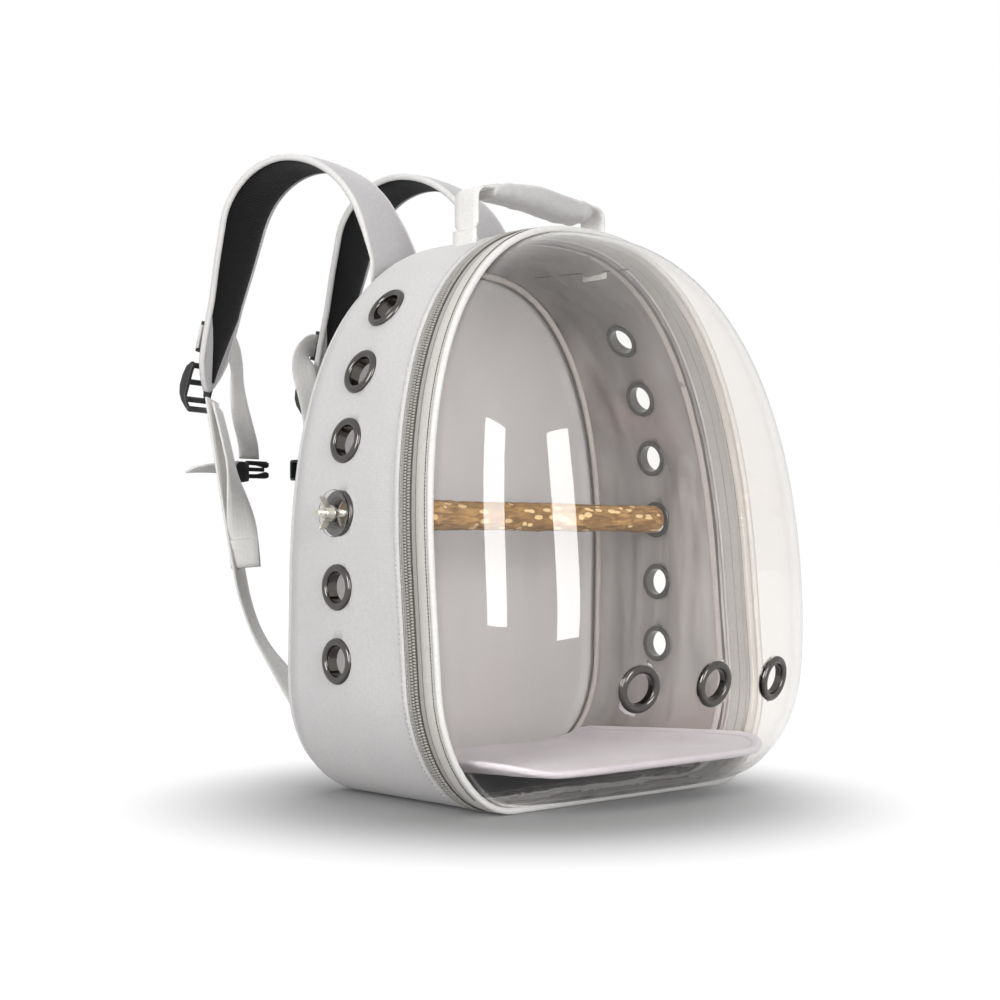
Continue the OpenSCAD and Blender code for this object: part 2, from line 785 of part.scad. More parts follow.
module strap_webbing() {
  web_plane(-anchor_x, web_w) polygon(band_outline(web_path, -web_t / 2, web_t / 2));
}

// The right webbing crosses to the left from its tab, in an upright plane of its own
right_turn = 35;
right_web_path = concat([[9.5, web_start[1], 47]],
  walk([9.5, web_start[1]], 47, [[80, -4], [70, 18], [166, 4]]));
right_web_last = right_web_path[len(right_web_path) - 1];

module right_web_plane(w, shift = 0) {
  translate([anchor_x, web_start[0] - 1, 0]) rotate([0, 0, right_turn]) web_plane(shift, w) children();
}
module right_webbing() {
  right_web_plane(web_w) polygon(band_outline(right_web_path, -web_t / 2, web_t / 2));
}

tab_y = back_y + back_lean * (back_z - 20) + 0.4;

// Triangular tabs at the base's back corners that hold the webbing
module strap_anchor_tabs() color("#d0cecd") {
  for (s = [0, 1]) mirror([s, 0, 0])
    web_plane(-anchor_x, 30)
      polygon([[tab_y, 20], [tab_y, 54], [web_start[0] - 1, web_start[1] + 3],
        [web_start[0] - 1, web_start[1] - 3]]);
}

// Frame at a distance before a pad's tip: X across, Y along the pad, Z out of its outer face
module at_tip(back) {
  translate([-strap_x, strap_y, 0]) rotate([0, 0, splay])
    translate([0, pad_tip[0], pad_tip[1]]) rotate([pad_tip[2], 0, 0])
      translate([0, -back, 0]) children();
}

// Ladder lock at the strap's tip: a frame with three bars
lock_w = 34;
lock_t = 4.5;
lock_l = 34;

module ladder_lock() {
  at_tip(4) translate([-3, 0, pad_t / 2 + lock_t / 2 + 0.8]) {
    for (s = [-1, 1])
      translate([s * (lock_w / 2) - 2, -lock_l / 2, -lock_t / 2]) cube([4, lock_l, lock_t]);
    for (y = [-lock_l / 2, -2, lock_l / 2 - 4])
      translate([-lock_w / 2, y, -lock_t / 2]) cube([lock_w, 4, lock_t]);
  }
}

// Free tail of the adjusting webbing, folded and stitched at its end
tail_start = [web_last[0] - 5, web_last[1] - 6];
tail_heading = -115;
tail_arcs = [[70, 6], [70, 12]];
tail_path = concat([[tail_start[0], tail_start[1], tail_heading]],
  walk(tail_start, tail_heading, tail_arcs));
tail_last = tail_path[len(tail_path) - 1];

module tail_shape(path) {
  polygon(band_outline(path, -web_t / 2, web_t / 2));
  polygon(band_outline(slice(path, len(path) - 3, len(path) - 1), -web_t / 2 - 2, web_t / 2 + 2));
}
module strap_tail() web_plane(-anchor_x + 2, web_w - 1) tail_shape(tail_path);

right_tail_start = [right_web_last[0] - 5, right_web_last[1] - 6];
right_tail_path = concat([[right_tail_start[0], right_tail_start[1], -124]],
  walk(right_tail_start, -124, [[70, 4], [70, 6]]));
module right_tail() right_web_plane(web_w - 1, 2) tail_shape(right_tail_path);

// Chest strap: a keeper on the pad, webbing down to half of a side-release buckle
keeper_back = 44;
chest_x = -79;
chest_w = 20;
chest_start = [263.7, 350.7];
chest_heading = -99;
chest_arcs = [[40, -6], [34, 0], [20, 30]];
chest_path = concat([[chest_start[0], chest_start[1], chest_heading]],
  walk(chest_start, chest_heading, chest_arcs));
chest_last = chest_path[len(chest_path) - 1];
face_up = pad_t / 2 + 1;

module chest_keeper() {
  at_tip(keeper_back) translate([0, 0, face_up]) {
    difference() {
      translate([-14, -13, 0]) cube([28, 26, 5]);
      translate([-15, -10.6, 1]) cube([30, 21.2, 2.8]);
    }
  }
}

module chest_webbing() {
  web_plane(chest_x, chest_w) polygon(band_outline(chest_path, -web_t / 2, web_t / 2));
  at_tip(keeper_back) translate([-16, -chest_w / 2, face_up + 1.4]) cube([55, chest_w, 2]);
}

// The right half of the chest strap leaves its pad towards the left one
right_chest_x = -31;
chest_shift = [0, -23, 2];
module right_chest() translate(chest_shift + [chest_x + right_chest_x, 0, 0]) mirror([1, 0, 0]) children();
module right_chest_band() {
  translate(chest_shift)
    web_plane(right_chest_x, chest_w) polygon(band_outline(chest_path, -web_t / 2, web_t / 2));
  translate(right_shift) at_tip(keeper_back)
    translate([-39, -chest_w / 2, face_up + 1.4]) cube([55, chest_w, 2]);
}

// Short end of the chest webbing on the other side of its buckle
module chest_tail(long = 40) {
  translate([buckle_at[0] - 16.4, buckle_at[1], buckle_at[2] + 3]) rotate([60, 0, 0])
    translate([-long, -1, -10]) cube([long, 2, 20]);
}

buckle_at = [chest_x, chest_last[0], chest_last[1] - 11];

// Half with the two prongs
module buckle_male() {
  translate(buckle_at) {
    translate([-16, -5, -4]) cube([14, 10, 12]);
    for (s = [-1, 1]) translate([-2.5, -2.5, 2 + s * 7 - 2]) cube([22, 5, 4]);
    translate([-2.5, -2, 0]) cube([18, 4, 4]);
    translate([-16, -5, -9]) cube([4, 10, 5.2]);
  }
}

// Half with the socket
module buckle_female() {
  translate(buckle_at) difference() {
    translate([-16, -6, -9]) cube([34, 12, 17]);
    translate([-6, -3.5, -7]) cube([30, 7, 13]);
  }
}

module left_strap_pad() color("#c5c3c4") strap_pad();
module left_strap_mesh() color("#222224") strap_mesh();
module left_strap_binding() color("#dddcdb") strap_binding();
module left_ladder_lock() color("#26262a") ladder_lock();
module left_strap_webbing() color("#d2d1d0") strap_webbing();
module left_strap_tail() color("#d2d1d0") strap_tail();
module left_chest_keeper() color("#26262a") chest_keeper();
module left_chest_webbing() color("#d2d1d0") chest_webbing();
module left_chest_tail() color("#d2d1d0") chest_tail();
module left_chest_buckle() color("#26262a") buckle_male();

module right_strap_pad() color("#c5c3c4") translate(right_shift) strap_pad();
module right_strap_mesh() color("#222224") translate(right_shift) strap_mesh();
module right_strap_binding() color("#dddcdb") translate(right_shift) strap_binding();
module right_ladder_lock() color("#26262a") translate(right_shift) ladder_lock();
module right_strap_webbing() color("#d2d1d0") right_webbing();
module right_strap_tail() color("#d2d1d0") right_tail();
module right_chest_keeper() color("#26262a") translate(right_shift) chest_keeper();
module right_chest_webbing() color("#d2d1d0") right_chest_band();
module right_chest_tail() color("#d2d1d0") right_chest() chest_tail(29);
module right_chest_buckle() color("#26262a") right_chest() buckle_female();

gusset_shell();
gusset_lining();
back_panel();
back_lining();
back_piping();
inner_binding();
upper_back_pad();
lower_back_pad();
base_board();
floor_mat();
body_zipper_tape();
body_zipper_teeth();
left_eyelets();
left_eyelet_washers();
right_eyelets();
right_eyelet_washers();
strap_roots();
strap_anchor_tabs();
handle_tabs();
door_band();
door_piping();
window_dome();
door_zipper_tape();
door_zipper_teeth();
door_hinge_strip();
window_eyelets();
window_eyelet_washers();
upper_slider();
upper_pull_tab();
lower_slider();
lower_pull_tab();
handle_webbing();
handle_grip();
perch_branch();
perch_studs();
left_clamp_washer();
left_wing_nut();
right_clamp_washer();
right_wing_nut();
left_strap_pad();
left_strap_mesh();
left_strap_binding();
left_ladder_lock();
left_strap_webbing();
left_strap_tail();
left_chest_keeper();
left_chest_webbing();
left_chest_tail();
left_chest_buckle();
right_strap_pad();
right_strap_mesh();
right_strap_binding();
right_ladder_lock();
right_strap_webbing();
right_strap_tail();
right_chest_keeper();
right_chest_webbing();
right_chest_tail();
right_chest_buckle();
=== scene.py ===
# %% [markdown]
# # A backpack carrier for a pet bird
# The imported model is the fixed frame: its nodes are already at their real size and place. This lesson
# dresses them. Hard parts keep their own mesh and get a finish. Soft parts, the clear window and the
# small metalwork are modelled again around the same sizes. Most new pieces ride on the body that
# carries them, so the carrier still opens, swings and slides; the shoulder pads and the lower webbing
# are left fixed where they stand.

import math
import random

import bmesh
import bpy
from mathutils import Matrix, Vector, noise


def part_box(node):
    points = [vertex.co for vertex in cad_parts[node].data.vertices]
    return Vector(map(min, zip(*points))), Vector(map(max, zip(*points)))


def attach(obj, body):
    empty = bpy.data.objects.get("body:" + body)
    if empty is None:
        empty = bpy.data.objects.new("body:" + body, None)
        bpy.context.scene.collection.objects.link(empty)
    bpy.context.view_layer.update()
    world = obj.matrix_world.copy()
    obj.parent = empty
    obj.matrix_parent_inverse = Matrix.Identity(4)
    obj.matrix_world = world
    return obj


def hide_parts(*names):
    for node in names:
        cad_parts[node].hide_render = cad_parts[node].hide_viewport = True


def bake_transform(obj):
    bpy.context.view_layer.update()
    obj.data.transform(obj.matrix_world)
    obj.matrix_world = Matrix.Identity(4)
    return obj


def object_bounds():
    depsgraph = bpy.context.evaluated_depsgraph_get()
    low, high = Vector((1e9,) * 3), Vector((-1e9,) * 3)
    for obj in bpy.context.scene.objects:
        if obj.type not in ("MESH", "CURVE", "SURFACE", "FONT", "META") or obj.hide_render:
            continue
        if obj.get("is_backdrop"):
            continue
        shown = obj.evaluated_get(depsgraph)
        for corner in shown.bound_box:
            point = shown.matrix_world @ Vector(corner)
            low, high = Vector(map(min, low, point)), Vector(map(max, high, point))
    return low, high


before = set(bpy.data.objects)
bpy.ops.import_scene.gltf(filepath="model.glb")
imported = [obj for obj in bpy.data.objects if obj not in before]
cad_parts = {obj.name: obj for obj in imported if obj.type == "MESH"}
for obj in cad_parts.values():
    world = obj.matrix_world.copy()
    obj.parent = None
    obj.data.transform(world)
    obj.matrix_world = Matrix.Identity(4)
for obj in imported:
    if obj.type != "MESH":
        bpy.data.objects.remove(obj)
cad_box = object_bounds()
MM = 0.001

# %% [markdown]
# ## Camera, light and floor
# The camera stands where the photographer stood: level with the middle of the carrier, looking at its
# front left. A level camera keeps upright lines upright, and a small shift moves the horizon down in
# the picture. Two tall soft boxes stand to the left and in front. They light the fabric, and they are
# what the clear dome mirrors as two bright upright strips.

# %% Camera
focal = 60.785
camera_at = (-0.8989, -0.9582, 0.1805)
camera_turn = 42.69
camera_data = bpy.data.cameras.new("camera")
camera_data.sensor_width = 36
camera_data.lens = focal
camera_data.shift_y = 0.0507
camera_data.clip_start = 0.05
camera = bpy.data.objects.new("camera", camera_data)
camera.location = camera_at
camera.rotation_euler = (math.radians(90), 0, math.radians(-camera_turn))
bpy.context.scene.collection.objects.link(camera)
bpy.context.scene.camera = camera
bpy.context.scene.view_settings.view_transform = "Standard"

# %% Soft boxes


def soft_box(name, place, target, width, height, radiance, mirrored=True):
    """Area light that faces the target; a light's power is its radiance times pi times its area."""
    data = bpy.data.lights.new(name, "AREA")
    data.shape = "RECTANGLE"
    data.size, data.size_y = width, height
    data.energy = radiance * math.pi * width * height
    lamp = bpy.data.objects.new(name, data)
    lamp.location = place
    lamp.rotation_euler = (Vector(target) - Vector(place)).to_track_quat("-Z", "Y").to_euler()
    lamp.visible_glossy = lamp.visible_transmission = mirrored
    bpy.context.scene.collection.objects.link(lamp)


soft_box("left_box", (-1.59, -0.44, 0.60), (-0.15, -0.14, 0.22), 0.60, 1.0, 8.6)
soft_box("front_box", (-0.51, -1.60, 0.53), (-0.12, -0.18, 0.20), 0.44, 1.12, 8.8)
soft_box("top_box", (0.25, 0.75, 1.9), (0, 0.05, 0.2), 1.5, 1.5, 2.3, mirrored=False)
soft_box("right_rear_box", (1.5, 1.0, 1.1), (0, 0, 0.25), 1.5, 1.2, 2.6, mirrored=False)

# %% [markdown]
# ## Colours and shader nodes
# Colours are written as sRGB hex values, as a paint chart gives them, and one function turns them to
# the linear values that a shader works in. A second small function adds a node with its settings and
# its links.

# %% Shader helpers


def colour(code):
    """sRGB hex to linear RGBA."""
    parts = [int(code[i:i + 2], 16) / 255 for i in (1, 3, 5)]
    return [c / 12.92 if c <= 0.04045 else ((c + 0.055) / 1.055) ** 2.4 for c in parts] + [1]


def add(tree, kind, inputs=None, **settings):
    """Adds a shader node. An input given as a socket is linked, any other value is set."""
    node = tree.nodes.new("ShaderNode" + kind)
    for key, value in settings.items():
        setattr(node, key, value)
    for key, value in (inputs or {}).items():
        if isinstance(value, bpy.types.NodeSocket):
            tree.links.new(value, node.inputs[key])
        else:
            node.inputs[key].default_value = value
    return node


def start(name):
    """An empty material and its node tree."""
    material = bpy.data.materials.new(name)
    material.use_nodes = True
    material.node_tree.nodes.clear()
    return material, material.node_tree


def end(tree, shader):
    """Sends the finished shader to the material's output."""
    add(tree, "OutputMaterial", {"Surface": shader.outputs[0]})


# %% [markdown]
# ## White sweep
# A product photo stands on a white sweep. The floor is a plain pale sheet that takes the carrier's
# shadow. Near the carrier it is a grey paper, a painted shadow round a point a little left of and in
# front of the carrier. Further out it turns to pure white for the camera, a mirror or clear plastic,
# so that the shadow stays close and no horizon shows.

# %% Floor and world


def seen_directly(tree, mirror=0.9):
    """1 for rays from the camera or clear plastic, less in a mirror, 0 for light that falls on a surface."""
    path = add(tree, "LightPath")
    straight = add(tree, "Math", {0: path.outputs["Is Camera Ray"], 1: path.outputs["Is Transmission Ray"]},
                   operation="MAXIMUM")
    gloss = add(tree, "Math", {0: path.outputs["Is Glossy Ray"], 1: mirror}, operation="MULTIPLY")
    return add(tree, "Math", {0: straight.outputs[0], 1: gloss.outputs[0]}, operation="MAXIMUM").outputs[0]


world = bpy.data.worlds.new("studio")
bpy.context.scene.world = world
world.use_nodes = True
world.node_tree.nodes.clear()
ambient = 0.3
level = add(world.node_tree, "MapRange", {"Value": seen_directly(world.node_tree), "To Min": ambient,
                                          "To Max": 1.0})
background = add(world.node_tree, "Background", {"Color": (1, 1, 1, 1), "Strength": level.outputs[0]})
add(world.node_tree, "OutputWorld", {"Surface": background.outputs[0]})

sweep_material, tree = start("white_sweep_paper")
# Grey paper near the carrier paints its shadow; it fades to white further out
painted_shadow_paper = add(tree, "BsdfDiffuse", {"Color": colour("#a4a4a4")})
lift = 0.03
glow_level = add(tree, "MapRange", {"Value": seen_directly(tree), "To Min": 0.0, "To Max": lift})
glow = add(tree, "Emission", {"Color": (1, 1, 1, 1), "Strength": glow_level.outputs[0]})
near = add(tree, "AddShader", {0: painted_shadow_paper.outputs[0], 1: glow.outputs[0]})
far_level = add(tree, "MapRange", {"Value": seen_directly(tree), "To Min": 0.35, "To Max": 1.05})
far = add(tree, "Emission", {"Color": (1, 1, 1, 1), "Strength": far_level.outputs[0]})
reach = add(tree, "VectorMath", {0: add(tree, "TexCoord").outputs["Object"], 1: (-0.05, -0.055, 0)},
            operation="DISTANCE")
shadow_fade = add(tree, "MapRange", {"Value": reach.outputs["Value"], "From Min": 0.12, "From Max": 0.32},
           interpolation_type="SMOOTHSTEP")
end(tree, add(tree, "MixShader", {0: shadow_fade.outputs[0], 1: near.outputs[0], 2: far.outputs[0]}))


def to_object(name, bm):
    """Turns a bmesh into an object of the scene and lets the bmesh go."""
    mesh = bpy.data.meshes.new(name)
    bm.to_mesh(mesh)
    bm.free()
    thing = bpy.data.objects.new(name, mesh)
    bpy.context.scene.collection.objects.link(thing)
    return thing


bm = bmesh.new()
bmesh.ops.create_grid(bm, x_segments=1, y_segments=1, size=12)
floor = to_object("sweep_floor", bm)
floor.location.z = -0.0002
floor.data.materials.append(sweep_material)
floor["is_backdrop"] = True

# %% [markdown]
# ## Cloth finishes
# Woven cloth is two sets of threads over and under each other. Two sets of soft waves, one across and
# one along the piece's own UV map, multiply into that small basket of bumps. The map is in metres, so
# a thread's spacing is a real one. Real threads of half a millimetre are finer than a pixel here, so
# they are drawn about three times coarser. A slow cloudiness in the colour keeps large panels alive.

# %% Woven cloth
wave_repeat = 0.31416  # a Wave texture of scale 1 repeats at this distance


def woven(name, light, dark, across=1.6, along=1.6, depth=0.12, rough=0.85, sheen=0.25, cloud=9.0):
    """Cloth with threads spaced in millimetres and a slow change between two near colours."""
    material, tree = start(name)
    uv = add(tree, "UVMap", uv_map="cloth").outputs[0]
    place = add(tree, "TexCoord").outputs["Object"]
    sets = [add(tree, "TexWave", {"Vector": uv, "Scale": wave_repeat / (pitch * MM), "Distortion": 0.6,
                                  "Detail": 1.0, "Detail Scale": 0.4}, bands_direction=way).outputs["Fac"]
            for pitch, way in ((across, "X"), (along, "Y"))]
    threads = add(tree, "Math", {0: sets[0], 1: sets[1]}, operation="MULTIPLY")
    slow = add(tree, "TexNoise", {"Vector": place, "Scale": cloud, "Detail": 3.0, "Roughness": 0.55})
    fleck = add(tree, "TexNoise", {"Vector": place, "Scale": 420.0, "Detail": 2.0})
    mixed = add(tree, "Math", {0: slow.outputs["Fac"], 1: fleck.outputs["Fac"]}, operation="MULTIPLY")
    amount = add(tree, "MapRange", {"Value": mixed.outputs[0], "From Min": 0.12, "From Max": 0.42})
    tint = add(tree, "Mix", {0: amount.outputs[0], 6: colour(dark), 7: colour(light)}, data_type="RGBA")
    bump = add(tree, "Bump", {"Height": threads.outputs[0], "Strength": 0.5, "Distance": depth * MM})
    end(tree, add(tree, "BsdfPrincipled", {
        "Base Color": tint.outputs[2], "Roughness": rough, "Sheen Weight": sheen, "Sheen Roughness": 0.5,
        "Specular IOR Level": 0.3, "Normal": bump.outputs[0]}))
    return material


# Solution-dyed polyester, plain weave, foam backed: matt, even, a fine grain
shell_cloth = woven("polyester_oxford_woven", "#d6d4d3", "#cac8c8")
# Stiff back panel in the same cloth
panel_cloth = woven("polyester_panel_woven", "#d5d3d2", "#c8c6c6")
# Shoulder straps in the same cloth, a shade darker
strap_cloth = woven("polyester_strap_woven", "#d0cdce", "#c2c0c1", depth=0.1)
# Folded binding tape: smooth and nearly white
binding_cloth = woven("grosgrain_binding_woven", "#e9e7e5", "#dcdad8", across=3.0, along=0.9, depth=0.08)
# The same tape in grey, for the bound seams inside
seam_tape = woven("grosgrain_binding_grey", "#bdb6b2", "#aaa29e", across=3.0, along=0.9, depth=0.08)

# Flat nylon webbing: strong ribs across its width
web_cloth = woven("nylon_webbing_woven", "#f0eeeb", "#e4e2df", across=3.2, along=1.5, depth=0.22, rough=0.6)
# Zipper tape: fine ribs, slightly shiny polyester
tape_cloth = woven("zipper_tape_woven", "#aeaba7", "#9e9b97", across=1.2, along=2.2, depth=0.15, rough=0.7)
# Door band beside the zipper
band_cloth = woven("polyester_band_woven", "#cfccc7", "#c3c0bb", depth=0.08)
# Padded grip of the handle: soft knitted sleeve
grip_cloth = woven("padded_sleeve_woven", "#d4d2d1", "#c6c4c3", across=1.8, along=1.8, depth=0.12, sheen=0.4)
# Floor mat: smooth plain microfibre with a faint lilac cast
mat_cloth = woven("microfibre_mat_woven", "#d3cdd3", "#c6c0c7", across=2.4, along=2.4, depth=0.1, cloud=14)

# %% [markdown]
# ## Lining nylon
# The lining is thin proofed nylon: smooth and a little glossy. The light and dark of its creases is also
# painted into its colour as soft upright streaks, and its colour drifts between cool and warm grey. The
# wall's lining also has painted shade under the arch and near its foot, and painted light on its floor.

# %% Lining finishes


def nylon(name, light, dark, warm, rough=0.42, arch=0.0, low=0.0):
    """Thin proofed nylon: painted crease streaks, fine creases, painted shade at top and foot, painted light
    on the floor.
    """
    material, tree = start(name)
    place = add(tree, "TexCoord").outputs["Object"]
    # Noise stretched upwards draws upright streaks that paint the light and dark of creases into the colour
    stretched = add(tree, "Mapping", {"Vector": place, "Scale": (1.0, 1.0, 0.35)})
    slow = add(tree, "TexNoise", {"Vector": stretched.outputs[0], "Scale": 16.0, "Detail": 4.0,
                                  "Distortion": 0.8})
    crease_shade_drift = add(tree, "MapRange", {"Value": slow.outputs["Fac"], "From Min": 0.3, "From Max": 0.7})
    greys = add(tree, "Mix", {0: crease_shade_drift.outputs[0], 6: colour(dark), 7: colour(light)}, data_type="RGBA")
    blush = add(tree, "TexNoise", {"Vector": place, "Scale": 9.0, "Detail": 2.0})
    blush_at = add(tree, "MapRange", {"Value": blush.outputs["Fac"], "From Min": 0.5, "From Max": 0.75,
                                      "To Max": 0.55})
    tint = add(tree, "Mix", {0: blush_at.outputs[0], 6: greys.outputs[2], 7: colour(warm)}, data_type="RGBA")
    height = add(tree, "SeparateXYZ", {"Vector": place}).outputs["Z"]
    # Height bands mixed into the colour: painted shade under the arch and near the foot, painted light on the
    # floor
    shade, painted_floor_light = "#4c4745", "#e6e5e8"
    for z0, z1, at_z0, at_z1, code in ((0.24, 0.42, 0.0, arch, shade), (0.02, 0.16, low, 0.0, shade),
                                       (0.012, 0.022, 2.6 * low, 0.0, painted_floor_light)):
        share = add(tree, "MapRange", {"Value": height, "From Min": z0, "From Max": z1, "To Min": at_z0,
                                       "To Max": at_z1})
        tint = add(tree, "Mix", {0: share.outputs[0], 6: tint.outputs[2], 7: colour(code)}, data_type="RGBA")
    crease = add(tree, "TexNoise", {"Vector": stretched.outputs[0], "Scale": 38.0, "Detail": 3.0})
    bump = add(tree, "Bump", {"Height": crease.outputs["Fac"], "Strength": 0.45, "Distance": 2.2 * MM})
    end(tree, add(tree, "BsdfPrincipled", {
        "Base Color": tint.outputs[2], "Roughness": rough, "Specular IOR Level": 0.4,
        "Normal": bump.outputs[0]}))
    return material


# Lining of the wall: painted crease streaks of mid grey, a warm cast, painted shade under the arch and at the
# foot, and painted light on the floor
wall_nylon = nylon("proofed_nylon_wall", "#b5b1af", "#767170", "#aa9089", arch=0.6, low=0.33)
# Lining of the back: the same nylon stretched flat, so it looks even and duller
back_nylon = nylon("proofed_nylon_back", "#b9b7b7", "#b0aeae", "#b6b0b0", rough=0.55)

# %% [markdown]
# ## Air mesh
# The black side of the pads is spacer mesh: a net of small oval holes over foam. Rounded Voronoi cells
# on the piece's own map give the holes, and the thread between them stands up a little. The holes are
# painted blacker than the thread: painted shade inside them.

# %% Mesh finish
mesh_cell = 2.6


def air_mesh(name):
    """Black knitted net over foam: dull threads round small cells painted blacker as the shade in the holes.
    """
    material, tree = start(name)
    uv = add(tree, "UVMap", uv_map="cloth").outputs[0]
    net = add(tree, "TexVoronoi", {"Vector": uv, "Scale": 1 / (mesh_cell * MM), "Randomness": 0.15},
              feature="DISTANCE_TO_EDGE")
    thread = add(tree, "MapRange", {"Value": net.outputs["Distance"], "From Min": 0.05, "From Max": 0.3,
                                    "To Min": 1.0, "To Max": 0.0})
    # The cells are painted darker than the thread: the shade inside the holes
    tint = add(tree, "Mix", {0: thread.outputs[0], 6: colour("#080809"), 7: colour("#18181a")},
               data_type="RGBA")
    bump = add(tree, "Bump", {"Height": thread.outputs[0], "Strength": 0.6, "Distance": 0.4 * MM})
    end(tree, add(tree, "BsdfPrincipled", {
        "Base Color": tint.outputs[2], "Roughness": 0.9, "Sheen Weight": 0.15, "Specular IOR Level": 0.15,
        "Normal": bump.outputs[0]}))
    return material


black_mesh = air_mesh("spacer_mesh_knitted")

# %% [markdown]
# ## Metal, plastic and wood
# Bag eyelets are steel with a black-nickel plating: a dark mirror. The wing nuts and studs are zinc
# plated, paler and softer. Buckles are moulded acetal, nearly black with a low sheen.

# %% Hard finishes


def metal(name, tint, rough, wear=0.06, scale=90.0):
    """Plated metal whose polish changes a little from place to place."""
    material, tree = start(name)
    place = add(tree, "TexCoord").outputs["Object"]
    smear = add(tree, "TexNoise", {"Vector": place, "Scale": scale, "Detail": 4.0})
    polish = add(tree, "MapRange", {"Value": smear.outputs["Fac"], "From Min": 0.3, "From Max": 0.7,
                                    "To Min": rough - wear, "To Max": rough + wear})
    end(tree, add(tree, "BsdfPrincipled", {"Base Color": colour(tint), "Metallic": 1.0,
                                           "Roughness": polish.outputs[0]}))
    return material


def moulded(name, tint, rough, grain=0.05):
    """Moulded plastic with the fine grain of its mould."""
    material, tree = start(name)
    place = add(tree, "TexCoord").outputs["Object"]
    spark = add(tree, "TexNoise", {"Vector": place, "Scale": 1400.0, "Detail": 2.0})
    bump = add(tree, "Bump", {"Height": spark.outputs["Fac"], "Strength": 0.3, "Distance": grain * MM})
    end(tree, add(tree, "BsdfPrincipled", {"Base Color": colour(tint), "Roughness": rough,
                                           "Normal": bump.outputs[0]}))
    return material


# Eyelets, black-nickel plated steel: a dark mirror with bright rims
eyelet_plate = metal("black_nickel_plated_steel", "#5e5b59", 0.15)
# Wing nuts and studs, zinc plated steel: pale silver with a soft shine
zinc_plate = metal("zinc_plated_steel", "#cfcbc0", 0.2)
# Zipper sliders, nickel plated castings: a little duller than the nuts
slider_plate = metal("nickel_plated_zinc_casting", "#a9a6a1", 0.26)
# Buckles, moulded acetal: nearly black with a broad low sheen
buckle_acetal = moulded("acetal_moulded_black", "#232326", 0.38)
# Zipper coil, drawn nylon: grey beads with a small highlight each
coil_nylon = moulded("nylon_zipper_coil", "#a8a49e", 0.35, 0.02)
# Sewing thread: matt, as pale as the cloth, and a dark copy that paints shade along grooves, gaps and stitch
# lines that lie in shade
stitch_thread = moulded("polyester_thread", "#c9c7c5", 0.8)
painted_shade_thread = moulded("polyester_thread_painted_shade", "#4a4643", 0.8)
# Base board, pressed fibre: dull and coarse
board_fibre = moulded("fibreboard_pressed", "#6a686a", 0.9, 0.2)

# %% [markdown]
# ## Clear sheet
# The window is vacuum-formed clear sheet. Light bends and reflects at both of its faces, so it is a
# closed thin solid with a glass-like finish. Lamps would only reach the cabin through it as slow,
# noisy caustics, so shadow rays pass it as if it were just a faint tint.

# %% Clear finish


def clear(name, tint, rough, ior, through):
    """Clear plastic that bends what shows through it and lets lamp light straight past."""
    material, tree = start(name)
    sheet = add(tree, "BsdfPrincipled", {"Base Color": colour(tint), "Roughness": rough, "IOR": ior,
                                         "Transmission Weight": 1.0})
    passing = add(tree, "BsdfTransparent", {"Color": colour(through)})
    path = add(tree, "LightPath")
    end(tree, add(tree, "MixShader", {0: path.outputs["Is Shadow Ray"], 1: sheet.outputs[0],
                                      2: passing.outputs[0]}))
    return material


# The window, vacuum-formed polycarbonate: clear with the least warm tint
dome_sheet = clear("polycarbonate_formed_clear", "#faf8f6", 0.0, 1.45, "#f6f6f6")
# Clamp washers, moulded acrylic: clear, slightly frosted by their mould
washer_sheet = clear("acrylic_moulded_clear", "#f2f3f3", 0.04, 1.45, "#f0f0f0")
print("materials:", len(bpy.data.materials))

# %% [markdown]
# ## The carrier's outline
# Every soft piece follows one outline: a flat base, quarter-round lower corners, straight sides and a
# squarish arch. One function gives that outline drawn in by any distance, and two more set it upright
# on the plane of the door, which leans back, or on the plane of the back, which leans forward.

# %% Driving sizes in millimetres
shell_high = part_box("gusset_shell")[1]
half_w, shell_h = shell_high.x / MM, shell_high.z / MM
sides = ((-1, "left"), (1, "right"))
base_half, corner_h, side_top, arch_n = 108, 88, 150, 2.45
lean, mid_z = math.tan(math.radians(4.86)), 200
back_y, back_lean, back_z, back_r = 77, 0.025, 114, 34
zip_y, rim_y, wall = -75.7, -96, 4
eyelet_r, eyelet_bore = 16.6, 10.75
eyelet_z = [102, 154.5, 207, 259, 309, 357]
perch_z = eyelet_z[2]
heart_z = 190  # height of the middle, from which a ring's points look outwards
print(f"shell {2 * half_w:.0f} mm wide, {shell_h:.0f} mm high")


def half_at(z, d=0.0):
    """Half of the carrier's width at a height, for a skin drawn in by d."""
    if z > side_top:
        rest = 1 - ((z - side_top) / (shell_h - side_top - d)) ** arch_n
        return (half_w - d) * max(0.0, rest) ** (1 / arch_n)
    if z < corner_h:
        rest = 1 - ((corner_h - z) / (corner_h - d)) ** 2
        return base_half + (half_w - base_half - d) * math.sqrt(max(0.0, rest))
    return half_w - d


def outline(d=0.0, base=8, corner=12, upright=5, arch=34):
    """(x, z) round the carrier from the middle of the base, up the right side and down the left."""
    right = [(base_half * i / base, d) for i in range(base)]
    for i in range(corner + 1):
        t = math.radians(-90 + 90 * i / corner)
        right.append((base_half + (half_w - base_half - d) * math.cos(t),
                      corner_h + (corner_h - d) * math.sin(t)))
    right += [(half_w - d, corner_h + (side_top - corner_h) * i / upright) for i in range(1, upright)]
    for i in range(arch):
        t = math.radians(90 * i / arch)
        right.append(((half_w - d) * math.cos(t) ** (2 / arch_n),
                      side_top + (shell_h - side_top - d) * math.sin(t) ** (2 / arch_n)))
    return right + [(0, shell_h - d)] + [(-x, z) for x, z in reversed(right[1:])]


def lean_ring(d, y):
    """The outline on a plane that leans like the door's rim."""
    return [Vector((x, y + lean * (z - mid_z), z)) for x, z in outline(d)]


def back_ring(d, y):
    """The outline on a plane that leans like the back."""
    return [Vector((x, y - back_lean * (z - back_z), z)) for x, z in outline(d)]


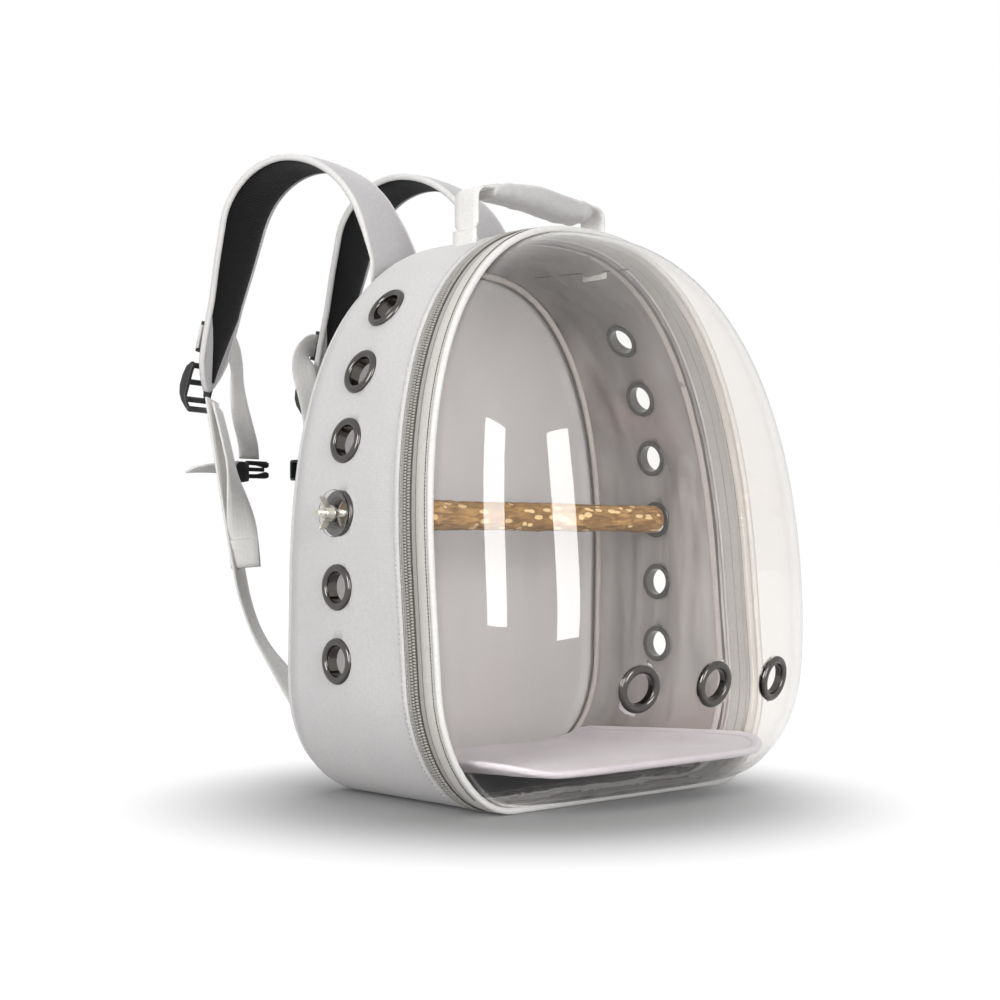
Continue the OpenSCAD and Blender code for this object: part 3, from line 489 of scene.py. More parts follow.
def turn_ring(d, turn):
    """The outline on the rounded corner between the sides and the back."""
    r, t = back_r - d, math.radians(turn)
    return back_ring(back_r - r * math.cos(t), back_y + 2 - back_r + r * math.sin(t))


def outward(p):
    """The way out of the cloth at a point of the wall, not yet of length 1."""
    return Vector((p.x, 0, p.z - heart_z))


def arch_z(x, d):
    """Height of the arch over x, for a skin drawn in by d."""
    return side_top + (shell_h - side_top - d) * (1 - (abs(x) / (half_w - d)) ** arch_n) ** (1 / arch_n)


def squarish(value, power):
    """Bends a cosine or sine so that a round section turns nearly square."""
    return math.copysign(abs(value) ** power, value)


def between(first, last, steps):
    """Rings from first up to, and without, last."""
    return [[a.lerp(b, i / steps) for a, b in zip(first, last)] for i in range(steps)]


# %% [markdown]
# ## A skin through rings
# Most soft pieces are one move: draw a row of points, extrude it, put the new row where it belongs,
# and repeat. Each vertex remembers its spot in the row and its row, which also gives the piece a UV
# map in metres for its weave.

# %% Loft and finish


def lengths(points):
    """Running length along a row of points."""
    total = [0.0]
    for a, b in zip(points, points[1:]):
        total.append(total[-1] + (b - a).length)
    return total


def loft(rings, around=True, back_to_first=False):
    """Extrudes a row of points through rings given in millimetres, and maps it in metres."""
    rows = [[p * MM for p in ring] for ring in (rings + [rings[0]] if back_to_first else rings)]
    count = len(rows[0])
    bm = bmesh.new()
    spot, row = (bm.verts.layers.int.new(n) for n in ("spot", "row"))
    fresh = [bm.verts.new(p) for p in rows[0]]
    for i, vert in enumerate(fresh):
        vert[spot] = i
    follow = fresh[1:] + fresh[:1] if around else fresh[1:]
    edges = [bm.edges.new(pair) for pair in zip(fresh, follow)]
    for number, points in enumerate(rows[1:], 1):
        grown = bmesh.ops.extrude_edge_only(bm, edges=edges)["geom"]
        for vert in (g for g in grown if isinstance(g, bmesh.types.BMVert)):
            vert.co = points[vert[spot]]
            vert[row] = number
        edges = [g for g in grown if isinstance(g, bmesh.types.BMEdge)
                 and all(v[row] == number for v in g.verts)]
    widest = max(rows, key=lambda points: lengths(points)[-1])
    across = lengths(widest + widest[:1])
    along = lengths([sum(points, Vector()) / count for points in rows])
    if along[-1] < 0.2 * across[-1]:
        along = lengths([points[0] for points in rows])
    uv = bm.loops.layers.uv.new("cloth")
    for face in bm.faces:
        wraps = around and any(v[spot] == count - 1 for v in face.verts)
        for corner in face.loops:
            i = corner.vert[spot]
            corner[uv].uv = (across[count if wraps and i == 0 else i], along[corner.vert[row]])
    return bm


def close_ends(bm):
    """Fills the open ends of a tube."""
    bmesh.ops.holes_fill(bm, edges=[e for e in bm.edges if e.is_boundary], sides=0)
    return bm


def make(name, bm, material, body, replaces=(), levels=0, sharp=None, blend=None):
    """Turns a bmesh into a finished piece that rides on a body, or, when a blend is given, stays fixed where
    it stands.
    """
    bmesh.ops.remove_doubles(bm, verts=bm.verts, dist=0.00001)
    bmesh.ops.recalc_face_normals(bm, faces=bm.faces)
    piece = to_object(name, bm)
    mesh = piece.data
    mesh.materials.append(material)
    mesh.shade_smooth()
    if sharp is not None:
        mesh.set_sharp_from_angle(angle=math.radians(sharp))
    if levels:
        smooth = piece.modifiers.new("smooth", "SUBSURF")
        smooth.levels = smooth.render_levels = levels
    if blend:
        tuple(blend[0])
        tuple(blend[1])
        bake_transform(piece)
    else:
        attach(piece, body)
    if replaces:
        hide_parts(*replaces)
    print(f"{name}: {len(mesh.polygons)} faces")
    return piece


# %% [markdown]
# ## The fabric shell
# The real wall is one padded strip: sides, arch and base in one, sewn to the back with a cord in the
# seam. A loft follows it from the folded edge at the zipper, back along the sides and round the rear
# corner, and then returns along its inner face. A welt of folded cloth stands up a little along the
# zipper. Twelve eyelet holes are cut with a Boolean, so that daylight comes through.

# %% Eyelet frames


def wall_frame(side, z, y=0.0):
    """Stands a shape on the side wall: its Z points out of the cloth."""
    tilt = math.degrees(math.atan2(half_at(z - 1) - half_at(z + 1), 2))
    turned = Matrix.Translation((half_at(z), y, z)) @ Matrix.Rotation(math.radians(90 - tilt), 4, "Y")
    return Matrix.Scale(MM, 4) @ (Matrix.Scale(side, 4, (1, 0, 0)) if side < 0 else Matrix()) @ turned


hole_r = 12.2


def hole_tool(name, places, depth, segments):
    """Round cutters, one at each place, in one object."""
    bm = bmesh.new()
    for place in places:
        bmesh.ops.create_cone(bm, cap_ends=True, segments=segments, radius1=hole_r, radius2=hole_r,
                              depth=depth, matrix=place)
    bmesh.ops.recalc_face_normals(bm, faces=bm.faces)
    return to_object(name, bm)


cutter = hole_tool("hole_cutter", [wall_frame(side, z) for side, _ in sides for z in eyelet_z], 40, 40)


def drill(piece, tool):
    """Cuts with a Boolean and applies it, so the piece keeps a plain mesh."""
    cut = piece.modifiers.new("holes", "BOOLEAN")
    cut.operation, cut.object, cut.solver = "DIFFERENCE", tool, "EXACT"
    bpy.context.view_layer.update()
    graph = bpy.context.evaluated_depsgraph_get()
    done = bpy.data.meshes.new_from_object(piece.evaluated_get(graph))
    piece.modifiers.clear()
    old = piece.data
    piece.data = done
    bpy.data.meshes.remove(old)


# %% Shell
wall_turn, panel_turn = 37.8, 48.2
front_edge = zip_y + 9
welt = 0.5


def ripple(points, size, spread, seed, skip=None):
    """Moves points in or out a little, as padded cloth is never quite flat."""
    moved = []
    for p in points:
        away = outward(p).normalized()
        amount = noise.noise(Vector((p.x, p.y * 1.3, p.z)) / spread + Vector((seed, 0, 0)))
        if skip:
            amount *= skip(p)
        moved.append(p + away * amount * size)
    return moved


def off_the_base(p):
    """0 on the base, which lies flat, and 1 above it."""
    return max(0.0, min(1.0, (p.z - 6) / 30))


def shell_rows(d, turn_steps=6):
    """The wall's skin from its welt back to the seam, drawn in by d."""
    return between(lean_ring(d, front_edge + 6), turn_ring(d, 0), 22) + \
        [turn_ring(d, wall_turn * i / turn_steps) for i in range(turn_steps + 1)]


outer = [lean_ring(1.5, front_edge), lean_ring(0.2, front_edge + 0.2), lean_ring(-welt, front_edge + 1.2),
         lean_ring(-welt, front_edge + 3.8), lean_ring(0.0, front_edge + 4.8)] + shell_rows(0)
outer = [ring if i < 5 else ripple(ring, 0.7, 55, 3, off_the_base) for i, ring in enumerate(outer)]
base_flat = [[Vector((p.x, p.y, max(p.z, 0.0))) for p in ring] for ring in outer]
shell = make("fabric_shell", loft(base_flat + list(reversed(shell_rows(wall))), back_to_first=True),
             shell_cloth, "carrier", ["gusset_shell"])
drill(shell, cutter)

# %% [markdown]
# ## Lining
# The lining hangs a little loose inside the wall. Noise that is stretched upwards pushes its skin
# inwards into soft upright creases, which fade out at the eyelets, where the metal clamps it flat.

# %% Lining
lining_d = wall + 0.3


def creased(points, seed):
    """Pushes the lining inwards in upright folds, and in pleats that slant up to the arch's corner."""
    moved = []
    for p in points:
        inward = -outward(p).normalized()
        fold = noise.noise(Vector((p.x * 0.25, p.y / 17, p.z / 95)) + Vector((seed, 0, 0)))
        fine = noise.noise(Vector((p.x * 0.2, p.y / 7, p.z / 45)) + Vector((0, seed, 0)))
        near = min(abs(p.z - z) for z in eyelet_z)
        calm = min(1.0, max(0.0, math.hypot(near, p.y) - 15) / 14) * off_the_base(p)
        pleat = noise.noise(Vector(((p.y - (p.z - 330) * 0.45) / 11, (p.z + p.y) / 90, p.x * 0.01 + seed)))
        where = math.exp(-((p.y - 36) / 30) ** 2 - ((p.z - 320) / 55) ** 2)
        depth = 3.4 * max(0.0, fold + 0.25) + 1.5 * max(0.0, fine + 0.1) + 7.0 * where * max(0.0, pleat + 0.1)
        moved.append(p + inward * calm * depth)
    return moved


lining_rows = between(lean_ring(lining_d, front_edge + 0.4), turn_ring(lining_d, 0), 44) + \
    [turn_ring(lining_d, wall_turn * i / 6) for i in range(7)]
inner_rows = [creased([p - outward(p).normalized() * 1.2 for p in ring], 7) for ring in lining_rows]
lining = make("wall_lining", loft(lining_rows + list(reversed(inner_rows)), back_to_first=True),
              wall_nylon, "carrier", ["gusset_lining"])
drill(lining, cutter)
bpy.data.objects.remove(cutter)

# %% [markdown]
# ## Back panel
# The back is a stiff panel with its edge turned forward to meet the wall. Both its outer and its
# inner skin are rings that turn the corner and then close over the flat face.

# %% Back panel and its lining


def panel(d, steps=6, flat_turn=70):
    """A skin from the seam round the corner and over the flat back, closed in the middle."""
    rows = [turn_ring(d, panel_turn + (flat_turn - panel_turn) * i / steps) for i in range(steps + 1)]
    edge = rows[-1]
    y_at = sum((p.y + back_lean * p.z for p in edge), 0.0) / len(edge)
    for share in (0.93, 0.8, 0.62, 0.42, 0.2, 0.0):
        rows.append([Vector((p.x * share, y_at - back_lean * (heart_z + (p.z - heart_z) * share),
                             heart_z + (p.z - heart_z) * share)) for p in edge])
    return rows


def panel_solid(d_out, d_in):
    """A closed panel between two skins."""
    return loft(list(reversed(panel(d_in))) + panel(d_out))


make("back_panel_cloth", panel_solid(0, wall), panel_cloth, "carrier", ["back_panel"])
make("back_lining_cloth", panel_solid(wall + 0.3, wall + 1.5), back_nylon, "carrier", ["back_lining"])

# %% [markdown]
# ## Cords in the seams
# A piped seam is cloth folded round a cord. It is a small round section carried along the outline.
# Inside, the same seam is bound with a folded tape, which is flatter and has a stitched groove; a thin
# dark cord laid in the groove paints its shade.

# %% Piping and bindings


def cord_rows(ring, r_side, r_depth, d, y, count=12, pinch=0.0):
    """Rings of a rounded section round the outline, centred on inset d and depth y."""
    rows = []
    for i in range(count):
        t = -2 * math.pi * i / count
        dent = 1 - pinch * math.exp(-((math.degrees(t) % 360 - 180) / 28) ** 2)
        rows.append(ring(d - r_side * dent * math.cos(t), y + r_depth * math.sin(t)))
    return rows


def seam_place(radius, turn):
    """Inset and depth of a point on the rounded rear corner."""
    t = math.radians(turn)
    return back_r - radius * math.cos(t), back_y + 2 - back_r + radius * math.sin(t)


seam_turn = 43
d, y = seam_place(back_r - 0.4, seam_turn)
make("back_seam_piping", loft(cord_rows(back_ring, 2.6, 2.6, d, y), back_to_first=True), binding_cloth,
     "carrier", ["back_piping"])
d, y = seam_place(back_r - wall - 1.5 - 2.7, seam_turn)
make("inner_seam_binding", loft(cord_rows(back_ring, 3.0, 2.9, d, y, 16, 0.3), back_to_first=True),
     seam_tape, "carrier", ["inner_binding"])
# A thin dark cord in the binding's groove paints the groove's shade
make("inner_seam_groove_shade", loft(cord_rows(back_ring, 0.9, 0.9, d + 2.7, y + 0.6, 8), back_to_first=True),
     painted_shade_thread, "carrier")
d = lining_d + 1.4 + 1.2
make("front_seam_binding", loft(cord_rows(lean_ring, 1.3, 3.2, d, zip_y + 16, 16, 0.3), back_to_first=True),
     seam_tape, "carrier")
# A thin dark cord in the front binding's groove paints its shade
make("front_seam_groove_shade", loft(cord_rows(lean_ring, 1.1, 1.0, d + 0.5, zip_y + 11.6, 8), back_to_first=True),
     painted_shade_thread, "carrier")

# %% [markdown]
# ## The zipper
# Each half of the zipper is a woven tape with a nylon coil sewn along its edge. The coil shows as a
# row of small beads. One bead is a bevelled block, and a walk along the outline sets hundreds of them
# at the coil's pitch, half a pitch apart on the two tapes so that they mesh.

# %% Zipper tapes
zip_half_gap = 104


def open_line(d, half=zip_half_gap):
    """The outline without the stretch of the base on which the door folds."""
    return [(x, z) for x, z in outline(d, base=54, corner=26, upright=10, arch=80) if z > 6 or abs(x) >= half]


def leaning(x, z, y):
    """A point of the door's leaning plane, y in front of or behind it."""
    return Vector((x, y + lean * (z - mid_z), z))


def tape(name, y0, y1, node, body):
    """A flat tape 1.6 mm thick between two depths, along the open outline."""
    top, low = open_line(0.8), open_line(2.4)
    places = [(top, y0), (top, (y0 + y1) / 2), (top, y1), (low, y1), (low, y0)]
    rows = [[leaning(x, z, y) for x, z in line] for line, y in places]
    make(name, loft(rows, around=False, back_to_first=True), tape_cloth, body, [node], sharp=40)


tape("shell_zipper_tape", zip_y + 0.3, zip_y + 8.8, "body_zipper_tape", "carrier")
tape("door_zipper_tape_cloth", zip_y - 8.2, zip_y - 0.3, "door_zipper_tape", "front_door")

# %% Zipper coils
coil_pitch = 2.1


def walk_outline(d, pitch, offset=0.0):
    """Places at an even pitch along the open outline, with the way along it."""
    line = [Vector((x, 0, z)) for x, z in open_line(d, zip_half_gap + 4)]
    run = lengths(line)
    k, at, spots = 0, offset, []
    while at < run[-1]:
        while run[k + 1] < at:
            k += 1
        way = line[k + 1] - line[k]
        spots.append((line[k] + way * ((at - run[k]) / way.length), way.normalized()))
        at += pitch
    return spots


def coil(name, side, offset, node, body):
    """Beads 2.9 mm long, most of a pitch wide, with their round tops standing off the tape."""
    bm = bmesh.new()
    for p, way in walk_outline(0.1, coil_pitch, offset):
        out = Vector((0, 1, 0)).cross(way)
        middle = leaning(p.x, p.z, zip_y + side * 1.85)
        axes = Matrix((way, Vector((0, 1, 0)), out)).transposed().to_4x4()
        size = Matrix.Diagonal((coil_pitch * 0.78, 2.9, 2.0, 1))
        place = Matrix.Scale(MM, 4) @ Matrix.Translation(middle) @ axes @ size
        bmesh.ops.create_cube(bm, size=1, matrix=place)
    bmesh.ops.bevel(bm, geom=bm.edges[:], offset=0.5 * MM, segments=1, profile=0.5, affect="EDGES",
                    material=-1)
    make(name, bm, coil_nylon, body, [node])


coil("shell_zipper_coil", 1, 0.0, "body_zipper_teeth", "carrier")
coil("door_zipper_coil", -1, coil_pitch / 2, "door_zipper_teeth", "front_door")


def shade_line(name, y, body, radius=0.5):
    """A dark rod that paints the shadow line where a coil's sewing thread sinks into the tape."""
    rows = []
    for x, z in open_line(0.55, zip_half_gap + 2):
        middle, away = leaning(x, z, y), Vector((x, 0, z - heart_z)).normalized()
        rows.append([middle + Vector((0, radius * math.cos(t), 0)) + away * radius * math.sin(t)
                     for t in (math.radians(60 * k) for k in range(6))])
    make(name, close_ends(loft(rows)), painted_shade_thread, body)


# Dark rods paint the shade beside each coil and between the two coils
shade_line("shell_zipper_shade", zip_y + 3.9, "carrier")
shade_line("door_zipper_shade", zip_y - 3.9, "front_door")
shade_line("shell_zipper_middle_shade", zip_y + 0.15, "carrier", 0.35)

# %% [markdown]
# ## Stitches
# Sewn lines make cloth read as cloth. A stitch is a short six-sided rod that lies on the surface. A
# function lays a row of them along any run of points, each with the direction that faces outwards.

# %% Stitches


def stitches(bm, run, pitch=3.6, share=0.68, radius=0.32, lift=0.15):
    """Rods along a run of (point, outward) pairs in millimetres."""
    points = [p for p, _ in run]
    total = lengths(points)
    k, at = 0, pitch * 0.3
    while at < total[-1]:
        while total[k + 1] < at:
            k += 1
        way = (points[k + 1] - points[k]).normalized()
        out = run[k][1].normalized()
        middle = points[k] + way * (at - total[k]) + out * lift
        across = out.cross(way).normalized()
        axes = Matrix((across, out, way)).transposed().to_4x4()
        bmesh.ops.create_cone(bm, cap_ends=True, segments=6, radius1=radius, radius2=radius,
                              depth=pitch * share,
                              matrix=Matrix.Scale(MM, 4) @ Matrix.Translation(middle) @ axes)
        at += pitch
    return bm


def outline_run(d, y, ring=lean_ring, low=8):
    """A run round the carrier at inset d and depth y, with its outward directions."""
    return [(p, outward(p)) for p in ring(d, y) if p.z > low]


bm = stitches(bmesh.new(), outline_run(-welt - 0.1, front_edge + 3.1))
stitches(bm, outline_run(0.6, zip_y + 7.4), pitch=2.8)
make("zipper_stitches", bm, stitch_thread, "carrier")

# %% Ceiling seam
# The ceiling's seam is drawn in the dark thread: its stitches carry painted shade
ceiling = [(Vector((58 + 0.5 * i, 52 - 5.2 * i, arch_z(58 + 0.5 * i, lining_d + 2.4))), Vector((0, 0, -1)))
           for i in range(22)]
make("ceiling_seam", stitches(bmesh.new(), ceiling, pitch=5.0, share=1.0, radius=0.55), painted_shade_thread,
     "carrier")

# %% [markdown]
# ## The door's frame
# The door is a band of cloth between the zipper and the white piping. The band swells slightly between
# its two seams, and a line of dark stitches in the groove beside the piping paints the groove's shade.

# %% Door band and piping
band_front, band_back = rim_y + 0.4, zip_y - 8.3


def band_rows():
    """The band's skin from the piping to the zipper and back along its inner face."""
    rows = []
    for share, inset in ((0, 1.3), (0.06, 0.5), (0.3, -0.1), (0.6, -0.1), (0.9, 0.3), (1, 1.2)):
        rows.append(lean_ring(inset, band_front + (band_back - band_front) * share))
    for share in (1, 0.5, 0):
        rows.append(lean_ring(3.3, band_front + (band_back - band_front) * share))
    return [[Vector((p.x, p.y, max(p.z, 0.05))) for p in ring] for ring in rows]


make("door_band_cloth", loft(band_rows(), back_to_first=True), band_cloth, "front_door", ["door_band"])
piping_r = 2.25
make("door_rim_piping", loft(cord_rows(lean_ring, piping_r, piping_r, piping_r, rim_y - piping_r + 0.4, 14),
                             back_to_first=True), binding_cloth, "front_door", ["door_piping"])
# Dark stitches in the groove beside the piping paint the groove's shade
bm = stitches(bmesh.new(), outline_run(0.25, rim_y + 1.6), pitch=2.6, share=0.8, radius=0.3)
make("door_band_shade_stitches", bm, painted_shade_thread, "front_door")

# %% [markdown]
# ## The clear dome
# The window is a sheet blown into a bulge. Its depth follows two super-ellipses: one from side to side
# and one from bottom to top. Rings of the rim's outline shrink towards the middle, crowded where the
# sheet turns fastest. The inner skin is the same shape, drawn in by the sheet's thickness.

# %% Dome shape
dome_depth, dome_mid, dome_inset, dome_t = 106, 170, 4.8, 1.5
low_n, up_n, plan_n = 2.3, 2.1, 2.5


def dome_rise(x, z, t=0.0):
    """How far the sheet stands in front of the rim's plane."""
    low, high = dome_inset + t, shell_h - dome_inset - t
    side = (dome_mid - z) / (dome_mid - low) if z < dome_mid else (z - dome_mid) / (high - dome_mid)
    n = low_n if z < dome_mid else up_n
    across = min(1.0, abs(x) / max(1.0, half_at(z, dome_inset + t)))
    return (dome_depth - t) * max(0.0, 1 - min(1.0, side) ** n) ** (1 / n) \
        * max(0.0, 1 - across ** plan_n) ** (1 / plan_n)


def dome_point(x, z, t=0.0):
    """A point of the sheet, which is slightly wrinkled where it turns under."""
    low = max(0.0, 1 - z / 34) * min(1.0, max(0.0, (dome_rise(x, z) - 4) / 12))
    wrinkle = noise.noise(Vector((x / 21, z / 5 + x / 60, 4))) * 1.5
    wrinkle += noise.noise(Vector((x / 7, z / 4, 8))) * 0.5
    return Vector((x, rim_y + lean * (z - mid_z) - dome_rise(x, z, t) + low * wrinkle, z))


dome_steps, collar = 30, 7


def dome_skin(t):
    """Rings of one face of the sheet, from its collar in the band to the middle of the bulge."""
    ring = outline(dome_inset + t, base=12, corner=14, upright=6, arch=40)
    rows = [[leaning(x, z, rim_y + collar) for x, z in ring], [leaning(x, z, rim_y + 2) for x, z in ring]]
    for i in range(dome_steps + 1):
        share = math.cos(math.radians(90 * i / dome_steps)) ** (2 / plan_n)
        rows.append([dome_point(x * share, dome_mid + (z - dome_mid) * share, t) for x, z in ring])
    return rows


dome = make("window_dome_clear", loft(list(reversed(dome_skin(0.0))) + dome_skin(dome_t)), dome_sheet,
            "front_door", ["window_dome"])

# %% [markdown]
# ## Eyelets
# A bag eyelet is a turned part: a flange with a rolled lip and a barrel that is pressed through the
# cloth over a washer. A profile spun once round its axis gives the flange and barrel in one piece.

# %% Eyelet shape
window_pitch, window_z = 71, 88.5


def window_frame(i):
    """Stands a shape on the dome at one of its three eyelets."""
    x, z, h = i * window_pitch, window_z, 4
    yaw = math.atan2(dome_point(x + h, z).y - dome_point(x - h, z).y, 2 * h)
    pitch = math.atan2(dome_point(x, z + h).y - dome_point(x, z - h).y, 2 * h)
    turned = Matrix.Rotation(yaw, 4, "Z") @ Matrix.Rotation(math.pi / 2 - pitch, 4, "X")
    return Matrix.Scale(MM, 4) @ Matrix.Translation((x, dome_point(x, z).y - 0.1, z)) @ turned


def turned_part(profile, steps=56, closed=True):
    """Spins a (radius, height) profile round Z: a closed one, or one that runs from axis to axis."""
    bm = bmesh.new()
    verts = [bm.verts.new((r, 0, z)) for r, z in profile]
    edges = [bm.edges.new(pair) for pair in zip(verts, verts[1:] + (verts[:1] if closed else []))]
    bmesh.ops.spin(bm, geom=verts + edges, cent=(0, 0, 0), axis=(0, 0, 1), angle=2 * math.pi, steps=steps,
                   use_merge=True)
    return bm


def flange_profile(depth, height=2.6):
    """A rolled lip: an arch from the bore to the rim, with a small step inside, and the barrel below."""
    mid, half = (eyelet_r + eyelet_bore) / 2, (eyelet_r - eyelet_bore) / 2
    arch = [(mid + half * math.cos(math.radians(a)), height * math.sin(math.radians(a)) ** 0.8)
            for a in range(0, 181, 15)]
    return arch + [(eyelet_bore, -depth), (eyelet_bore + 1.1, -depth), (eyelet_bore + 1.1, 0)]


def group(parts):
    """Joins copies of one bmesh, each moved by its own matrix."""
    whole = bmesh.new()
    scratch = bpy.data.meshes.new("scratch")
    for part, matrix in parts:
        copy = part.copy()
        copy.transform(matrix)
        copy.to_mesh(scratch)
        whole.from_mesh(scratch)
        copy.free()
    bpy.data.meshes.remove(scratch)
    return whole


washer_profile = [(eyelet_bore + 1.1, 0), (eyelet_r - 2, 0), (eyelet_r - 1.6, 0.5), (eyelet_r - 2.2, 1.2),
                  (eyelet_bore + 1.6, 1.4), (eyelet_bore + 1.1, 1.2)]
washer = turned_part(washer_profile)


def set_eyelets(rings, backs, depth, places, body, nodes):
    """An eyelet at each place, and its washer turned over at the end of its barrel."""
    eyelet = turned_part(flange_profile(depth))
    turned_over = Matrix.Translation((0, 0, -depth)) @ Matrix.Scale(-1, 4, (0, 0, 1)) \
        @ Matrix.Translation((0, 0, -1.2))
    for name, part, move, node in ((rings, eyelet, Matrix(), nodes[0]),
                                   (backs, washer, turned_over, nodes[1])):
        make(name, group([(part, m @ move) for m in places]), eyelet_plate, body, [node],
             sharp=50)


wall_depth, window_depth = 7.7, 4.5
for side, word in sides:
    set_eyelets(f"{word}_side_eyelets", f"{word}_side_eyelet_backs", wall_depth,
                [wall_frame(side, z) for z in eyelet_z], "carrier",
                [f"{word}_eyelets", f"{word}_eyelet_washers"])
set_eyelets("window_eyelet_rings", "window_eyelet_backs", window_depth,
            [window_frame(i) for i in (-1, 0, 1)], "front_door", ["window_eyelets", "window_eyelet_washers"])

# %% Holes in the dome
cutter = hole_tool("dome_cutter", [window_frame(i) for i in (-1, 0, 1)], 24, 48)
drill(dome, cutter)
bpy.data.objects.remove(cutter)

# %% [markdown]
# ## Floor mat
# The mat is a soft quilt with a bound edge that curls up a little. Its bowed front reaches into the
# dome. It is lofted from the middle of its underside, round its edge and back to the middle of its
# top, which is where the crown and the shallow dents come from.

# %% Mat
mat_half, mat_rear, mat_front, mat_z = 134, 62, 91, 15.6
mat_tilt = math.radians(-3.2)
mat_corner = 0.43  # the lower, the squarer the front corners


def mat_contour(draw_in=0.0, steps=40):
    """(x, y) round the mat: a straight rear edge, short sides and a bowed front."""
    half, rear = mat_half - draw_in, mat_rear - draw_in
    points = [(half * (1 - 2 * i / 24), rear) for i in range(1, 24)]
    points += [(-half + 2.5, rear - 2.5)] + [(-half, rear - 10 - i * 22) for i in range(6)]
    for i in range(steps + 1):
        t = math.pi * (1 - i / steps)
        points.append((half * squarish(math.cos(t), mat_corner),
                       -72 - (mat_front - draw_in) * math.sin(t) ** mat_corner if 0 < i < steps else -72))
    return points + [(half, rear - 10 - i * 22) for i in reversed(range(6))] + [(half - 2.5, rear - 2.5)]


def mat_point(x, y, z):
    """The mat lies tilted, its front raised, and its sides curl up along the rounded corners."""
    y0 = y - mat_rear
    curl = max(0.0, (abs(x) - 100) / 33) ** 2
    x, z = x + math.copysign(6.0 * curl, x), z + 9.0 * curl
    return Vector((x, mat_rear + y0 * math.cos(mat_tilt) - z * math.sin(mat_tilt),
                   mat_z + y0 * math.sin(mat_tilt) + z * math.cos(mat_tilt)))


def mat_ring(share, z, draw_in=0.0, wavy=0.0):
    """The contour shrunk by a share at a height in the mat, with shallow dents."""
    points = []
    for x, y in mat_contour(draw_in):
        px, py = x * share, -55 + (y + 55) * share
        dent = noise.noise(Vector((px / 46, py / 34, 5))) * wavy
        points.append(mat_point(px, py, z + dent))
    return points


bound_edge = [(0.3, 3.0), (1.0, 0.9), (2.6, 0.0), (4.4, 0.6), (5.6, 2.2), (5.7, 4.0), (4.6, 5.6)]
rows = [mat_ring(s, 0.0, 3.0) for s in (0.0, 0.5, 0.9)] + [mat_ring(1, z, d) for z, d in bound_edge]
rows += [mat_ring(s, 5.0, 6.4, 1.1) for s in (0.985, 0.95, 0.88, 0.78, 0.66, 0.52, 0.38, 0.25, 0.12, 0.0)]
mat = make("quilted_floor_mat", loft(rows), mat_cloth, "carrier", ["floor_mat"])
run = [(mat_point(x, y, 4.9), Vector((0, 0, 1))) for x, y in mat_contour(5.9)]
make("floor_mat_stitches", stitches(bmesh.new(), run), stitch_thread, "carrier")

# %% [markdown]
# ## Perch
# The perch is a straight branch with its bark on. The bark is ridged along the branch, and here and
# there it is rubbed down to pale oval patches. One function says how bare a spot is. It sinks the
# surface there, and the same value is stored as an attribute for the colour.

# %% Bark
perch_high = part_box("perch_branch")[1]
perch_half = perch_high.x / MM
perch_r = perch_high.z / MM - perch_z
random.seed(11)
patches = [(random.uniform(-perch_half, perch_half), random.uniform(0, 2 * math.pi),
            random.uniform(2.2, 5.6), random.uniform(1.6, 3.2)) for _ in range(150)]


def bare_at(x, turn):
    """0 on bark and 1 on a rubbed patch."""
    most = 0.0
    for at, angle, long, short in patches:
        if abs(x - at) < long:
            round_way = (turn - angle + math.pi) % (2 * math.pi) - math.pi
            reach = math.hypot((x - at) / long, round_way * perch_r / short)
            most = max(most, min(1.0, max(0.0, (1 - reach) * 4)))
    return most


def branch_ring(x, count=84):
    """A ring of the branch: slow knots, ridged bark and the rubbed patches."""
    points = []
    for i in range(count):
        turn = 2 * math.pi * i / count
        knot = 0.35 * math.sin(x / 21) + 0.5 * noise.noise(Vector((x / 30, math.cos(turn), math.sin(turn))))
        bark = noise.noise(Vector((x / 9, 5 * math.cos(turn), 5 * math.sin(turn)))) * 0.55 \
            + noise.noise(Vector((x / 2.6, 9 * math.cos(turn), 9 * math.sin(turn)))) * 0.3
        r = perch_r - 1.0 + knot * 1.1 + bark * 1.3 - 0.5 * bare_at(x, turn)
        points.append(Vector((x, r * math.cos(turn), perch_z + r * math.sin(turn))))
    return points


branch_steps = 340
rows = [branch_ring(-perch_half + 2 * perch_half * i / branch_steps) for i in range(branch_steps + 1)]
cut_end = [[Vector((p[0].x, 0, perch_z)).lerp(q, 0.92) for q in p] for p in (rows[0], rows[-1])]


